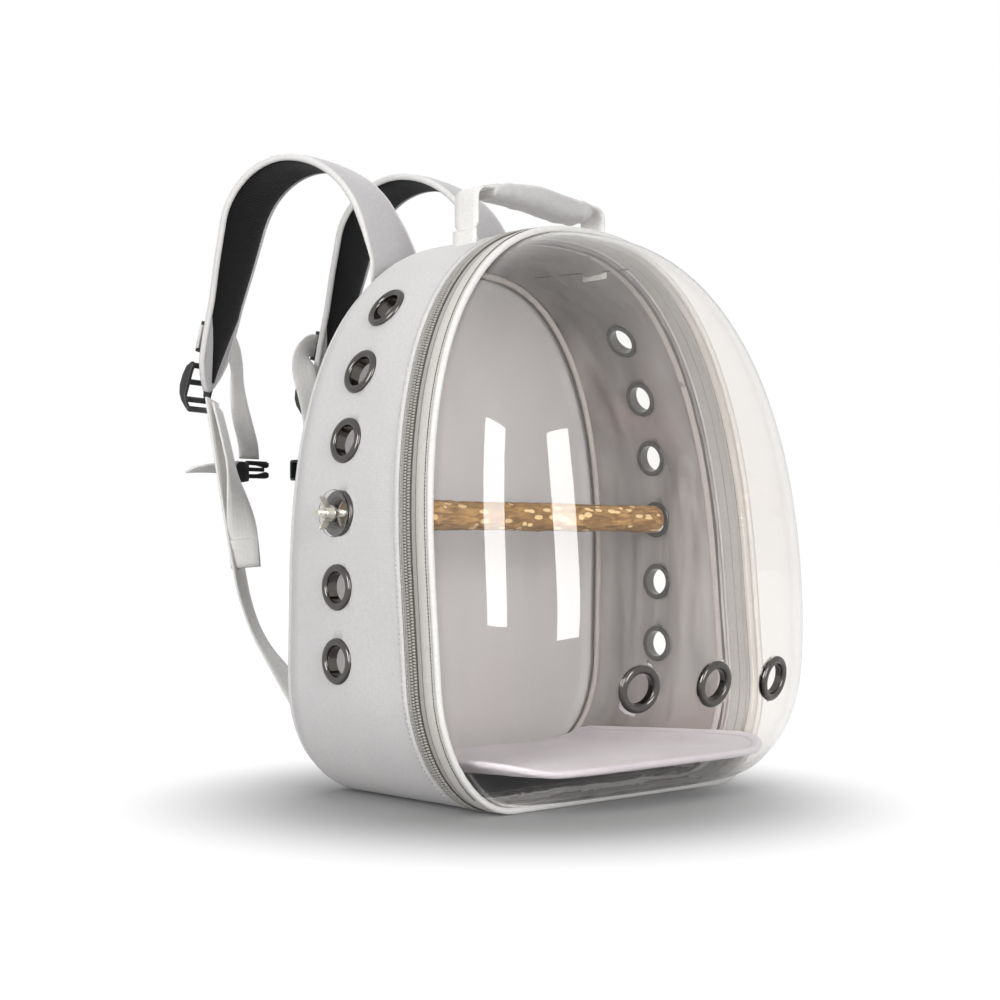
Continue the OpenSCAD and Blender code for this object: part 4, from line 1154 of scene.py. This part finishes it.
def bark_finish():
    """Golden-brown bark with lengthwise streaks, worn to pale sapwood where the attribute says so."""
    material, tree = start("branch_bark_natural")
    place = add(tree, "TexCoord").outputs["Object"]
    grain = add(tree, "Mapping", {"Vector": place, "Scale": (0.22, 1.0, 1.0)})
    streak = add(tree, "TexNoise", {"Vector": grain.outputs[0], "Scale": 420.0, "Detail": 4.0,
                                    "Distortion": 0.6})
    patch = add(tree, "TexNoise", {"Vector": place, "Scale": 48.0, "Detail": 3.0})
    dark = add(tree, "MapRange", {"Value": patch.outputs["Fac"], "From Min": 0.35, "From Max": 0.65})
    brown = add(tree, "Mix", {0: dark.outputs[0], 6: colour("#8a6631"), 7: colour("#bb9154")},
                data_type="RGBA")
    streaked = add(tree, "MapRange", {"Value": streak.outputs["Fac"], "From Min": 0.38, "From Max": 0.6})
    bark = add(tree, "Mix", {0: streaked.outputs[0], 6: colour("#74511f"), 7: brown.outputs[2]},
               data_type="RGBA")
    bare = add(tree, "Attribute", attribute_name="bare").outputs["Fac"]
    wood = add(tree, "Mix", {0: streak.outputs["Fac"], 6: colour("#d2ac74"), 7: colour("#ecd2a2")},
               data_type="RGBA")
    worn = add(tree, "Mix", {0: bare, 6: bark.outputs[2], 7: wood.outputs[2]}, data_type="RGBA")
    rim = add(tree, "Math", {0: bare, 1: 0.3}, operation="SUBTRACT")
    off_rim = add(tree, "Math", {0: rim.outputs[0]}, operation="ABSOLUTE")
    rim_at = add(tree, "MapRange", {"Value": off_rim.outputs[0], "From Min": 0.1, "From Max": 0.3,
                                    "To Min": 0.75, "To Max": 0.0})
    tint = add(tree, "Mix", {0: rim_at.outputs[0], 6: worn.outputs[2], 7: colour("#5a3d16")},
               data_type="RGBA")
    bump = add(tree, "Bump", {"Height": streak.outputs["Fac"], "Strength": 0.5, "Distance": 0.5 * MM})
    end(tree, add(tree, "BsdfPrincipled", {"Base Color": tint.outputs[2], "Roughness": 0.62,
                                           "Specular IOR Level": 0.35, "Normal": bump.outputs[0]}))
    return material


branch = make("perch_branch_bark", close_ends(loft([cut_end[0]] + rows + [cut_end[1]])), bark_finish(),
              "perch", ["perch_branch"])
bare = branch.data.attributes.new("bare", "FLOAT", "POINT")
for i, vert in enumerate(branch.data.vertices):
    p = vert.co / MM
    bare.data[i].value = bare_at(p.x, math.atan2(p.z - perch_z, p.y) % (2 * math.pi))

# %% [markdown]
# ## Studs, washers and wing nuts
# A threaded stud leaves each end of the branch through an eyelet. A clear washer bears on the eyelet
# and a zinc wing nut pulls it tight. The thread is rings of a small saw-tooth profile, spun, and the
# nut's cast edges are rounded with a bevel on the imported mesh.

# %% Threads and nuts
stud_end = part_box("perch_studs")[1].x / MM
stud_r = 3.0


def thread_profile(x0, x1, pitch=1.0):
    """A saw-tooth from the axis at x0 to the axis at x1, with a chamfered end."""
    points = [(0.0, x0)]
    x = x0
    while x < x1 - 1.0:
        points += [(stud_r - 0.55, x), (stud_r, x + pitch / 2)]
        x += pitch
    return points + [(stud_r - 0.6, x1 - 0.4), (stud_r - 1.4, x1), (0.0, x1)]


stud = turned_part(thread_profile(perch_half + 0.1, stud_end), steps=24, closed=False)
lay = [Matrix.Scale(MM, 4) @ Matrix.Translation((0, 0, perch_z)) @ Matrix.Rotation(s * math.pi / 2, 4, "Y")
       for s in (-1, 1)]
make("threaded_perch_studs", group([(stud, m) for m in lay]), zinc_plate, "perch", ["perch_studs"],
     sharp=60)


def dress(node, material, bevel=0.0, segments=2, angle=35):
    """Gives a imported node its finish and, where its edges are cast or moulded, rounds them."""
    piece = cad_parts[node]
    piece.data.materials.clear()
    piece.data.materials.append(material)
    if bevel:
        weld = piece.modifiers.new("weld", "WELD")
        weld.merge_threshold = 0.00001
        rounding = piece.modifiers.new("rounding", "BEVEL")
        rounding.width, rounding.segments = bevel * MM, segments
        rounding.limit_method, rounding.angle_limit = "ANGLE", math.radians(angle)
        rounding.harden_normals = False
    return piece


for _, word in sides:
    dress(f"{word}_clamp_washer", washer_sheet, 0.5)
    dress(f"{word}_wing_nut", zinc_plate, 0.45)
dress("base_board", board_fibre, 0.6)
for word in ("upper", "lower"):
    dress(f"{word}_slider", slider_plate, 0.35)
    dress(f"{word}_pull_tab", slider_plate, 0.3)
dress("door_hinge_strip", band_cloth)

# %% [markdown]
# ## Carry handle
# The handle is webbing sewn to the shell with a padded sleeve round its middle. A ribbon follows two
# legs, two tight bends and a low arch. The sleeve is a fuller tube, pinched at its ends, with a seam.

# %% Ribbons


def ribbon(frames, width, thick, taper=None):
    """Webbing along frames of (centre, across, outward): a flat section with round edges."""
    rows = []
    for i, (centre, across, out) in enumerate(frames):
        w = width / 2 * (taper(i / (len(frames) - 1)) if taper else 1)
        t = thick / 2
        section = [(-w, -0.4 * t), (-w + 0.5, -t), (-w * 0.5, -t), (0, -t), (w * 0.5, -t), (w - 0.5, -t),
                   (w, -0.4 * t), (w, 0.4 * t), (w - 0.5, t), (w * 0.5, t), (0, t), (-w * 0.5, t),
                   (-w + 0.5, t), (-w, 0.4 * t)]
        rows.append([centre + across * u + out * v for u, v in section])
    return close_ends(loft(rows))


handle_half, handle_y, grip_z, web_w = 67, -20, 450.5, 26
bend_r, handle_rise = 9, 3
leg_foot = 413.5  # height at which a leg comes out of its sewn end


def handle_line():
    """(x, z, heading) along the handle from its left leg over the arch to its right leg."""
    arch_half = handle_half - bend_r
    r = (arch_half ** 2 + handle_rise ** 2) / (2 * handle_rise)
    lift = math.asin(arch_half / r)
    points = [(-handle_half, leg_foot + (grip_z - bend_r - leg_foot) * i / 6, 90) for i in range(6)]
    points += [(-handle_half + bend_r - bend_r * math.cos(a), grip_z - bend_r + bend_r * math.sin(a),
                90 - math.degrees(a)) for a in (math.radians(90 * i / 8) for i in range(8))]
    points += [(r * math.sin(a), grip_z + handle_rise - r + r * math.cos(a), -math.degrees(a))
               for a in (lift * (-1 + i / 20) for i in range(41))]
    return points + [(-x, z, -h) for x, z, h in reversed(points[:14])]


handle_path = handle_line()
frames = [(Vector((x, handle_y, z)), Vector((0, 1, 0)),
           Vector((-math.sin(math.radians(h)), 0, math.cos(math.radians(h))))) for x, z, h in handle_path]
webbing = ribbon(frames, web_w, 2.0, taper=lambda s: min(1.0, 0.35 + 25 * min(s, 1 - s)))
make("handle_webbing_woven", webbing, web_cloth, "handle", ["handle_webbing"])

# %% Padded grip
sleeve_from, sleeve_to = -51, 55
sleeve = [(x, z, h) for x, z, h in handle_path if sleeve_from < x < sleeve_to]
thick_at = [(0, 5.2), (0.08, 6.4), (0.2, 7.8), (0.5, 10.0), (0.8, 10.0), (0.91, 9.0), (0.93, 9.6),
            (0.98, 9.2), (1, 7.8)]
wide_at = [(0, 13.6), (0.1, 14.4), (0.5, 15.6), (0.9, 15.2), (0.93, 15.7), (0.98, 15.6), (1, 14.6)]
sag_at = [(0, 2.4), (0.2, 2.0), (0.5, 3.0), (0.8, 5.8), (1, 4.8)]


def table(pairs, u):
    """Reads a value between the stations of a short table."""
    for (u0, v0), (u1, v1) in zip(pairs, pairs[1:]):
        if u <= u1:
            return v0 + (v1 - v0) * (u - u0) / (u1 - u0)
    return pairs[-1][1]


def grip_rows():
    """The sleeve starts flat at its left end, swells, and ends in a folded hem on the right."""
    rows = []
    line = [Vector((x, 0, z)) for x, z, _ in sleeve]
    run = lengths(line)
    for k in range(61):
        u = k / 60
        i = max(j for j in range(len(run) - 1) if run[j] <= u * run[-1] + 1e-6)
        part = (u * run[-1] - run[i]) / (run[i + 1] - run[i])
        centre = line[i].lerp(line[i + 1], part)
        h = math.radians(sleeve[i][2] + (sleeve[i + 1][2] - sleeve[i][2]) * part)
        up = Vector((-math.sin(h), 0, math.cos(h)))
        high, wide = table(thick_at, u), table(wide_at, u)
        ring = []
        for q in range(32):
            t = 2 * math.pi * q / 32
            c, sn = math.cos(t), math.sin(t)
            crease = noise.noise(Vector((u * 16, c * 1.5, sn * 1.5))) * 0.8
            lift_by = squarish(sn, 0.85) * high * (1 - 0.2 * math.exp(-((q - 24) / 1.2) ** 2))
            ring.append(centre + Vector((0, handle_y + squarish(c, 0.8) * wide, 0))
                        + up * (lift_by + crease) - Vector((0, 0, table(sag_at, u))))
        rows.append(ring)
    return rows


grip = make("handle_grip_padded", close_ends(loft(grip_rows())), grip_cloth, "handle",
            ["handle_grip"])

# %% Handle ends


def handle_tab(side):
    """The webbing's sewn end: it leaves the leg's outer face and dives under the cloth."""
    frames = [(Vector((side * (handle_half + 2.0), handle_y, 418.5 - 2.8 * i)), Vector((0, 1, 0)),
               Vector((side, 0, 0))) for i in range(9)]
    return ribbon(frames, web_w, 1.8)


make("handle_sewn_ends", group([(handle_tab(side), Matrix()) for side in (-1, 1)]), web_cloth, "carrier",
     ["handle_tabs"])

# %% [markdown]
# ## Shoulder straps
# A strap's path is a chain of arcs in an upright plane that leans to the left: up from the back, over
# the shoulder and down to its tip. Both straps hang over the same way, so the right one is the left
# one moved across. The same walk gives the pad, its black mesh face, its bound edge and the webbing.
# A pad is foam, so its section is crowned, and its edge is pinched thin by the binding.

# %% Strap path
strap_x, strap_y, splay = 62, 80, math.radians(17)
pad_t = 9
right_shift = Vector((118, 0, 2))
pad_start, pad_heading = (-10, 400), 74
pad_arcs = [(60, -16), (75, -50), (90, -82), (140, 0)]


def walk(start_at, heading, arcs, step=4.0):
    """(a, z, heading) at even steps along a chain of arcs given as (length, turn)."""
    a, z = start_at
    points = [(a, z, heading)]
    for length, turn in arcs:
        n = math.ceil(length / step)
        for i in range(n):
            h = math.radians(heading + turn * (i + 0.5) / n)
            a, z = a + length / n * math.cos(h), z + length / n * math.sin(h)
            points.append((a, z, heading + turn * (i + 1) / n))
        heading += turn
    return points


def strap_point(side, at, w, out):
    """A point of a strap: w across it and out from its middle towards its outer face."""
    a, z, heading = at
    h = math.radians(heading)
    a, z = a - out * math.sin(h), z + out * math.cos(h)
    p = Vector((-strap_x - a * math.sin(splay) + w * math.cos(splay),
                strap_y + a * math.cos(splay) + w * math.sin(splay), z))
    return p if side < 0 else p + right_shift


def sewn_in(p):
    """Draws a point of the pad's root down to where the arch's rounded rear edge takes it in."""
    return Vector((p.x, p.y, min(p.z, arch_z(p.x, 11.4) - 2)))


pad_path = walk(pad_start, pad_heading, pad_arcs)
pad_run = lengths([Vector((a, 0, z)) for a, z, _ in pad_path])
pad_len = pad_run[-1]
print(f"shoulder pad path {pad_len:.0f} mm")


def level_blend(side, first, last):
    """Two points at the strap's depth at two steps of its path."""
    y0, y1 = (strap_point(side, pad_path[k], 0, 0).y * MM for k in (first, last))
    return (0, y0, 0), (0, y1, 0)


# %% Strap pads
pad_halves = [(0, 3.2), (2, 5.4), (6, 8.2), (14, 13), (26, 17.6), (45, 19.6), (75, 21), (110, 25.5),
              (150, 29), (310, 30), (345, 35), (380, 37)]


def pad_half(left):
    """Half width of the pad at a distance before its tip: wide at the root and narrow at the tip."""
    return table(pad_halves, left)


def pad_section(half, up, down, count=28):
    """A crowned section: (w, out) pairs round it."""
    turns = [2 * math.pi * i / count for i in range(count)]
    return [(half * squarish(math.cos(t), 0.8),
             (up if math.sin(t) > 0 else down) * squarish(math.sin(t), 0.85)) for t in turns]


def thickness(run):
    """The pad is thin where it is sewn to the shell and full from 40 mm on."""
    return 0.45 + 0.55 * min(1.0, max(0.0, (run - 6) / 34))


for side, word in sides:
    body = f"{word}_strap"
    rows = []
    for k, at in enumerate(pad_path):
        full = thickness(pad_run[k])
        section = pad_section(pad_half(pad_len - pad_run[k]) - 1.0, 4.3 * full, 3.2 * full)
        rows.append([strap_point(side, at, w, out) for w, out in section])
    rows[0] = [sewn_in(p) for p in rows[0]]
    pad = make(f"{word}_shoulder_pad", close_ends(loft(rows)), strap_cloth, body,
               [f"{word}_strap_pad", "strap_roots"], blend=level_blend(side, 3, 11))

    rows = []
    for k, at in enumerate(pad_path):
        left = pad_len - pad_run[k]
        if pad_run[k] < 30 or left < 6:
            continue
        half = min(pad_half(left) - 2.6, 0.6 + 0.3 * (left - 6))
        section = pad_section(half, 0.6, 4.9)
        lean_over = 0.9 * math.exp(-left / 40)
        rows.append([strap_point(side, at, w + lean_over, out) for w, out in section])
    make(f"{word}_pad_mesh_face", close_ends(loft(rows)), black_mesh, body, [f"{word}_strap_mesh"],
         blend=level_blend(side, 3, 11))

    edge = [(k, 1) for k in range(len(pad_path))] + [(k, -1) for k in reversed(range(len(pad_path)))]
    rows = []
    for k, hand in edge:
        half = pad_half(pad_len - pad_run[k])
        full = thickness(pad_run[k])
        turns = [2 * math.pi * i / 12 for i in range(12)]
        ring = [strap_point(side, pad_path[k], hand * (half - 2.4 + 2.4 * math.cos(t)),
                            2.7 * full * math.sin(t) * hand) for t in turns]
        rows.append([sewn_in(p) for p in ring] if k == 0 else ring)
    make(f"{word}_pad_bound_edge", close_ends(loft(rows)), binding_cloth, body, [f"{word}_strap_binding"],
         blend=level_blend(side, 3, 11))

# %% [markdown]
# ## Webbing
# Flat webbing is thin, so it can only bend one way and twist. A ribbon along a chain of arcs with a
# slow turn about its own line gives both. The lower webbing runs from a triangular tab at the base up
# to the ladder lock, and its spare end hangs free and ends in a fold.

# %% Lower webbing and its free end
anchor_x = 122
planes = {"left": (Vector((-anchor_x, 0, 0)), 0), "right": (Vector((anchor_x, 93, 0)), math.radians(35))}
left_web = walk((94, 48), 42, [(80, -4), (70, 34), (156, 4)])
right_web = walk((9.5, 48), 47, [(80, -4), (70, 18), (166, 4)])
web_paths = {"left": left_web, "right": right_web}
tail_paths = {"left": walk((left_web[-1][0] - 5, left_web[-1][1] - 6), -115, [(70, 6), (70, 12)]),
              "right": walk((right_web[-1][0] - 5, right_web[-1][1] - 6), -124, [(70, 4), (70, 6)])}


def soft_step(s, first, last):
    """0 before first, 1 after last and smooth between."""
    u = max(0.0, min(1.0, (s - first) / (last - first)))
    return u * u * (3 - 2 * u)


def hanging(word, path, twist, across_by=0.0):
    """Frames for webbing in an upright plane, twisted about its own line by degrees at each share."""
    base, turn = planes[word]
    frames = []
    for i, (r, z, heading) in enumerate(path):
        h = math.radians(heading)
        ahead = Vector((-math.sin(turn), math.cos(turn), 0))
        side_way = Vector((math.cos(turn), math.sin(turn), 0))
        way = ahead * math.cos(h) + Vector((0, 0, math.sin(h)))
        out = -ahead * math.sin(h) + Vector((0, 0, math.cos(h)))
        spin = Matrix.Rotation(math.radians(twist(i / (len(path) - 1))), 3, way)
        centre = base + ahead * r + side_way * across_by + Vector((0, 0, z))
        frames.append((centre, spin @ side_way, spin @ out))
    return frames


for _, word in sides:
    body = f"{word}_strap"
    frames = hanging(word, web_paths[word], lambda s: 34 * soft_step(s, 0.02, 0.4))
    start_at = frames[0][0]
    make(f"{word}_lower_webbing", ribbon(frames, 25, 1.9), web_cloth, body, [f"{word}_strap_webbing"],
         blend=((0, (start_at.y - 5) * MM, 0), (0, (start_at.y + 22) * MM, 0)))
    frames = hanging(word, tail_paths[word], lambda s: -40 + 84 * soft_step(s, 0.35, 0.97), 2)
    make(f"{word}_webbing_tail", ribbon(frames, 24, 1.9), web_cloth, body, [f"{word}_strap_tail"])
    for layer, face in ((-2.1, "inner"), (2.1, "outer")):
        fold = [(c + o * layer, a, o) for c, a, o in frames[-7:]]
        make(f"{word}_tail_fold_{face}", ribbon(fold, 23.6, 2.0), web_cloth, body)

# %% Anchor tabs


def anchor_tab(side):
    """A folded triangle of cloth sewn into the corner seam, narrowing to the webbing."""
    rows = []
    for i in range(9):
        s = i / 8
        y = 79.6 + (94 - 79.6) * s
        tall, wide = 17 * (1 - s) + 3.2 * s, 15 - 1.5 * s
        mid = 37 * (1 - s) + 48 * s
        ring = []
        for k in range(20):
            t = 2 * math.pi * k / 20
            c, sn = math.cos(t), math.sin(t)
            ring.append(Vector((side * anchor_x + wide * squarish(c, 0.4), y,
                                mid + tall * squarish(sn, 0.6))))
        rows.append(ring)
    return close_ends(loft(rows))


make("webbing_anchor_tabs", group([(anchor_tab(s), Matrix()) for s in (-1, 1)]), strap_cloth, "carrier",
     ["strap_anchor_tabs"])

# %% [markdown]
# ## Ladder locks and the chest strap
# The plastic hardware is modelled with its real curves: a ladder lock's side plates are hooked, so
# that lifting its lip frees the webbing. A plate is a closed outline, extruded and bevelled.

# %% Hardware frames


def tip_frame(side, back):
    """The frame at a distance before a pad's tip: X across, Y towards the tip, Z out of the face."""
    a, z, heading = pad_path[-1]
    turned = Matrix.Translation((-strap_x, strap_y, 0)) @ Matrix.Rotation(splay, 4, "Z") \
        @ Matrix.Translation((0, a, z)) @ Matrix.Rotation(math.radians(heading), 4, "X") \
        @ Matrix.Translation((0, -back, 0))
    return Matrix.Scale(MM, 4) @ Matrix.Translation(right_shift if side > 0 else (0, 0, 0)) @ turned


def plate(points, depth, bevel=0.6):
    """Extrudes a closed outline by depth, centred, and rounds its edges."""
    bm = bmesh.new()
    verts = [bm.verts.new((x, y, -depth / 2)) for x, y in points]
    face = bm.faces.new(verts)
    grown = bmesh.ops.extrude_face_region(bm, geom=[face])["geom"]
    bmesh.ops.translate(bm, verts=[g for g in grown if isinstance(g, bmesh.types.BMVert)], vec=(0, 0, depth))
    bmesh.ops.recalc_face_normals(bm, faces=bm.faces)
    bmesh.ops.bevel(bm, geom=bm.edges[:], offset=bevel, segments=2, profile=0.5, affect="EDGES", material=-1)
    return bm


def bar(length, wide, high, bevel=0.8):
    """A rounded bar along X."""
    x, y = length / 2, wide / 2
    return plate([(-x, -y), (x, -y), (x, y), (-x, y)], high, bevel)


turn_yz = Matrix.Rotation(math.pi / 2, 4, "Y") @ Matrix.Rotation(math.pi / 2, 4, "Z")
hook = [(-19, -1.5), (-14, 3.4), (-6, 5.6), (3, 6.2), (10, 4.6), (15, 1.2), (19.5, -4.2), (22.5, -8.6),
        (20.4, -9.6), (15.6, -4.6), (10, -1.8), (2, -2.2), (-8, -2.6), (-16, -3.6)]
lock_parts = [(plate(hook, 3.6, 0.7), Matrix.Translation((s * 15.2, 0, 0)) @ turn_yz) for s in (-1, 1)]
lock_parts += [(bar(31, 4.6, 4.2), Matrix.Translation((0, y, z)))
               for y, z in ((-15.5, -0.4), (-1, 2.2), (13.5, 0.4))]
lock_parts += [(bar(31, 5.2, 2.6), Matrix.Translation((0, 20.4, -6.9)) @ Matrix.Rotation(-0.9, 4, "X"))]
for side, word in sides:
    at = tip_frame(side, 4) @ Matrix.Translation((-3, 0, pad_t / 2 + 3.2))
    make(f"{word}_ladder_lock_moulded", group([(p, at @ m) for p, m in lock_parts]), buckle_acetal,
         f"{word}_strap", [f"{word}_ladder_lock"], sharp=40)

# %% Chest strap
keeper_back, face_up, chest_w = 44, pad_t / 2 + 1, 20
chest_x = {-1: -79, 1: -31}
chest_shift = {-1: Vector((0, 0, 0)), 1: Vector((0, -23, 2))}
chest_path = walk((263.7, 350.7), -99, [(40, -6), (34, 0), (20, 30)])
buckle_y, buckle_z = chest_path[-1][0], chest_path[-1][1] - 11


def chest_frames(side):
    """Frames for the webbing that hangs from the pad's edge down to the buckle."""
    frames = []
    for i, (y, z, heading) in enumerate(chest_path):
        h = math.radians(heading)
        way, out = Vector((0, math.cos(h), math.sin(h))), Vector((0, -math.sin(h), math.cos(h)))
        s = i / (len(chest_path) - 1)
        spin = Matrix.Rotation(math.radians(side * 30 * (1 - soft_step(s, 0.1, 0.75))), 3, way)
        centre = Vector((chest_x[side] + side * 5 * math.sin(math.pi * s), y, z)) + chest_shift[side]
        frames.append((centre, spin @ Vector((1, 0, 0)), spin @ out))
    return frames


def over_the_pad(side):
    """One run of webbing: across the pad under its keeper, over the pad's edge, and down to the buckle."""
    tip = Matrix.Scale(1 / MM, 4) @ tip_frame(side, keeper_back)
    turn = tip.to_3x3().normalized()
    down = chest_frames(side)[5:]
    frames = [(tip @ Vector((side * (16 - 2.4 * i), 0, face_up + 2.4)), turn @ Vector((0, 1, 0)),
               turn @ Vector((0, 0, 1))) for i in range(15)]
    (p0, _, o0), (p1, _, o1) = frames[-1], down[0]
    t0, t1 = turn @ Vector((-side, 0, 0)), (down[1][0] - down[0][0]).normalized()
    reach = (p1 - p0).length * 1.1
    for i in range(1, 12):
        s = i / 12
        h0, h1 = 2 * s ** 3 - 3 * s * s + 1, s ** 3 - 2 * s * s + s
        h2, h3 = -2 * s ** 3 + 3 * s * s, s ** 3 - s * s
        way = (t0 * (1 - s) + t1 * s).normalized()
        out = (o0 * (1 - s) + o1 * s).normalized()
        across = out.cross(way).normalized() * -side
        centre = p0 * h0 + t0 * reach * h1 + p1 * h2 + t1 * reach * h3
        frames.append((centre, across, way.cross(across) * -side))
    return frames + [(c, a * side, o) for c, a, o in down]


keeper = [(bar(28, 2.4, 5.0, 0.7), Matrix.Translation((0, y, 2.5))) for y in (-11.8, 11.8)]
keeper += [(bar(28, 25.6, 1.1, 0.4), Matrix.Translation((0, 0, 0.55)))]
keeper += [(bar(long, 24, 1.3, 0.5), Matrix.Translation((x, 0, 4.35)))
           for long, x in ((4.4, -11.6), (4.4, 11.6), (3.6, 0))]
for side, word in sides:
    body = f"{word}_chest_strap"
    at = tip_frame(side, keeper_back) @ Matrix.Translation((0, 0, face_up))
    make(f"{word}_keeper_moulded", group([(p, at @ m) for p, m in keeper]), buckle_acetal, body,
         [f"{word}_chest_keeper"], sharp=40)
    make(f"{word}_chest_strap_webbing", ribbon(over_the_pad(side), chest_w, 1.8), web_cloth, body,
         [f"{word}_chest_webbing"])
    low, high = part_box(f"{word}_chest_tail")
    mid, span = (low + high) / 2 / MM, (high.x - low.x) / MM / 2
    tail = []
    for i in range(12):
        s = i / 11
        tilt = math.radians(60 + 12 * s)
        centre = Vector((mid.x + side * span * (2 * s - 1), mid.y + 4.0 * s, mid.z - 3.0 * s * s))
        tail.append((centre, Vector((0, -math.sin(tilt), math.cos(tilt))),
                     Vector((0, math.cos(tilt), math.sin(tilt)))))
    make(f"{word}_chest_strap_end", ribbon(tail, chest_w, 1.8, taper=lambda s: 1 - 0.35 * s), web_cloth,
         body, [f"{word}_chest_tail"])

# %% Side-release buckle
prong = [(-3, -1.6), (8, -2.0), (13, -3.0), (16, -4.2), (19, -3.2), (19.4, 0.4), (16.6, 1.8), (8, 1.8),
         (-3, 1.9)]
body_outline = [(-16, -9), (-9, -9.6), (-2.5, -8.4), (-2.5, 7.4), (-9, 8.4), (-16, 8)]


def buckle_at(side):
    """The buckle's frame: X towards the other half, Y through its thickness, Z up."""
    flip = Matrix.Scale(-1, 4, (1, 0, 0)) if side > 0 else Matrix()
    place = Vector((chest_x[side], buckle_y, buckle_z)) + chest_shift[side]
    return Matrix.Scale(MM, 4) @ Matrix.Translation(place) @ flip @ Matrix.Rotation(math.pi / 2, 4, "X")


male = [(plate(body_outline, 9.4, 1.3), Matrix()),
        (plate(prong, 4.6, 0.8), Matrix.Translation((0, 7.4, 0))),
        (plate([(x, -y) for x, y in prong], 4.6, 0.8), Matrix.Translation((0, -8.2 + 4.4, 0))),
        (bar(18, 3.4, 3.2, 0.7), Matrix.Translation((6, 2, 0)))]
socket_outline = [(-16, -9), (-8, -9.8), (10, -9.4), (18, -8), (18, 7.4), (10, 8.6), (-8, 8.8),
                  (-16, 8)]
socket = [(plate(socket_outline, 2.4, 0.9), Matrix.Translation((0, 0, s * 4.8))) for s in (-1, 1)]
socket += [(bar(34, 2.4, 10.4, 0.8), Matrix.Translation((1, y, 0))) for y in (-8.2, 7.2)]
socket += [(bar(9, 16, 10.4, 1.0), Matrix.Translation((-11.4, -0.5, 0)))]
make("left_buckle_prongs", group([(p, buckle_at(-1) @ m) for p, m in male]), buckle_acetal,
     "left_chest_strap", ["left_chest_buckle"], sharp=40)
make("right_buckle_socket", group([(p, buckle_at(1) @ m) for p, m in socket]), buckle_acetal,
     "right_chest_strap", ["right_chest_buckle"], sharp=40)

# %% [markdown]
# ## Back cushions
# Two cushions sit against the wearer's back. They wrap the turned corner of the shell a little, and
# sewn channels divide them. Each is rings that start under its edge, swell out and close over the
# crown, with the channels pressed in by a smooth groove.

# %% Cushions


def back_face(x, z):
    """Depth of the shell's back surface at a point, with its turned sides."""
    tilt = math.atan2(half_at(z - 1) - half_at(z + 1), 2)
    d = (half_at(z) - abs(x)) * math.cos(tilt)
    bent = back_r if d >= back_r else math.sqrt(max(0.0, back_r ** 2 - (back_r - d) ** 2))
    flat = back_y + 2 - back_r + back_r * math.sin(math.radians(70))
    turned = back_y + 2 - back_r + bent
    return min(flat, turned) - back_lean * (z - back_z)


def cushion(z0, z1, half, thick, channels):
    """Rings of a cushion from its underside over its edge to its middle."""
    mid, tall = (z0 + z1) / 2, (z1 - z0) / 2

    def ring(k, up, count=96):
        points = []
        for q in range(count):
            t = 2 * math.pi * q / count
            z = mid + max(0.0, tall - k) * squarish(math.sin(t), 0.45)
            wide = min(half, half_at(z) - 14)
            draw_in = k * wide / tall * (1 if k > tall * 0.5 else 0.6)
            x = max(0.0, wide - draw_in) * squarish(math.cos(t), 0.45)
            groove = sum(math.exp(-((x - c) / 4.5) ** 2) for c in channels)
            height = up * (1 - 0.42 * groove) + noise.noise(Vector((x / 35, z / 28, 9))) * 0.06 * up
            points.append(Vector((x, back_face(x, z) + 0.9 + height, z)))
        return points

    rows = [ring(k, 0.0) for k in (34, 22, 12, 5)]
    rows += [ring(tall * 0.36 * (1 - math.cos(math.radians(a))), 3 + (thick - 3) * math.sin(math.radians(a)))
             for a in range(0, 91, 15)]
    rows += [ring(tall * s, thick) for s in (0.48, 0.62, 0.78, 0.92, 1.0)]
    return rows


for name, node, z0, z1, half, thick in (("upper_back_cushion", "upper_back_pad", 234, 346, 148, 13.5),
                                        ("lower_back_cushion", "lower_back_pad", 70, 190, 154, 19.5)):
    pad = make(name, close_ends(loft(cushion(z0, z1, half, thick, (-52, 52)))), black_mesh, "carrier", [node])

# %% Sizes and finish
visual_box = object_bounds()
for name, (low, high) in (("packed", cad_box), ("shown", visual_box)):
    print(name, [round(v / MM, 1) for v in low], [round(v / MM, 1) for v in high])
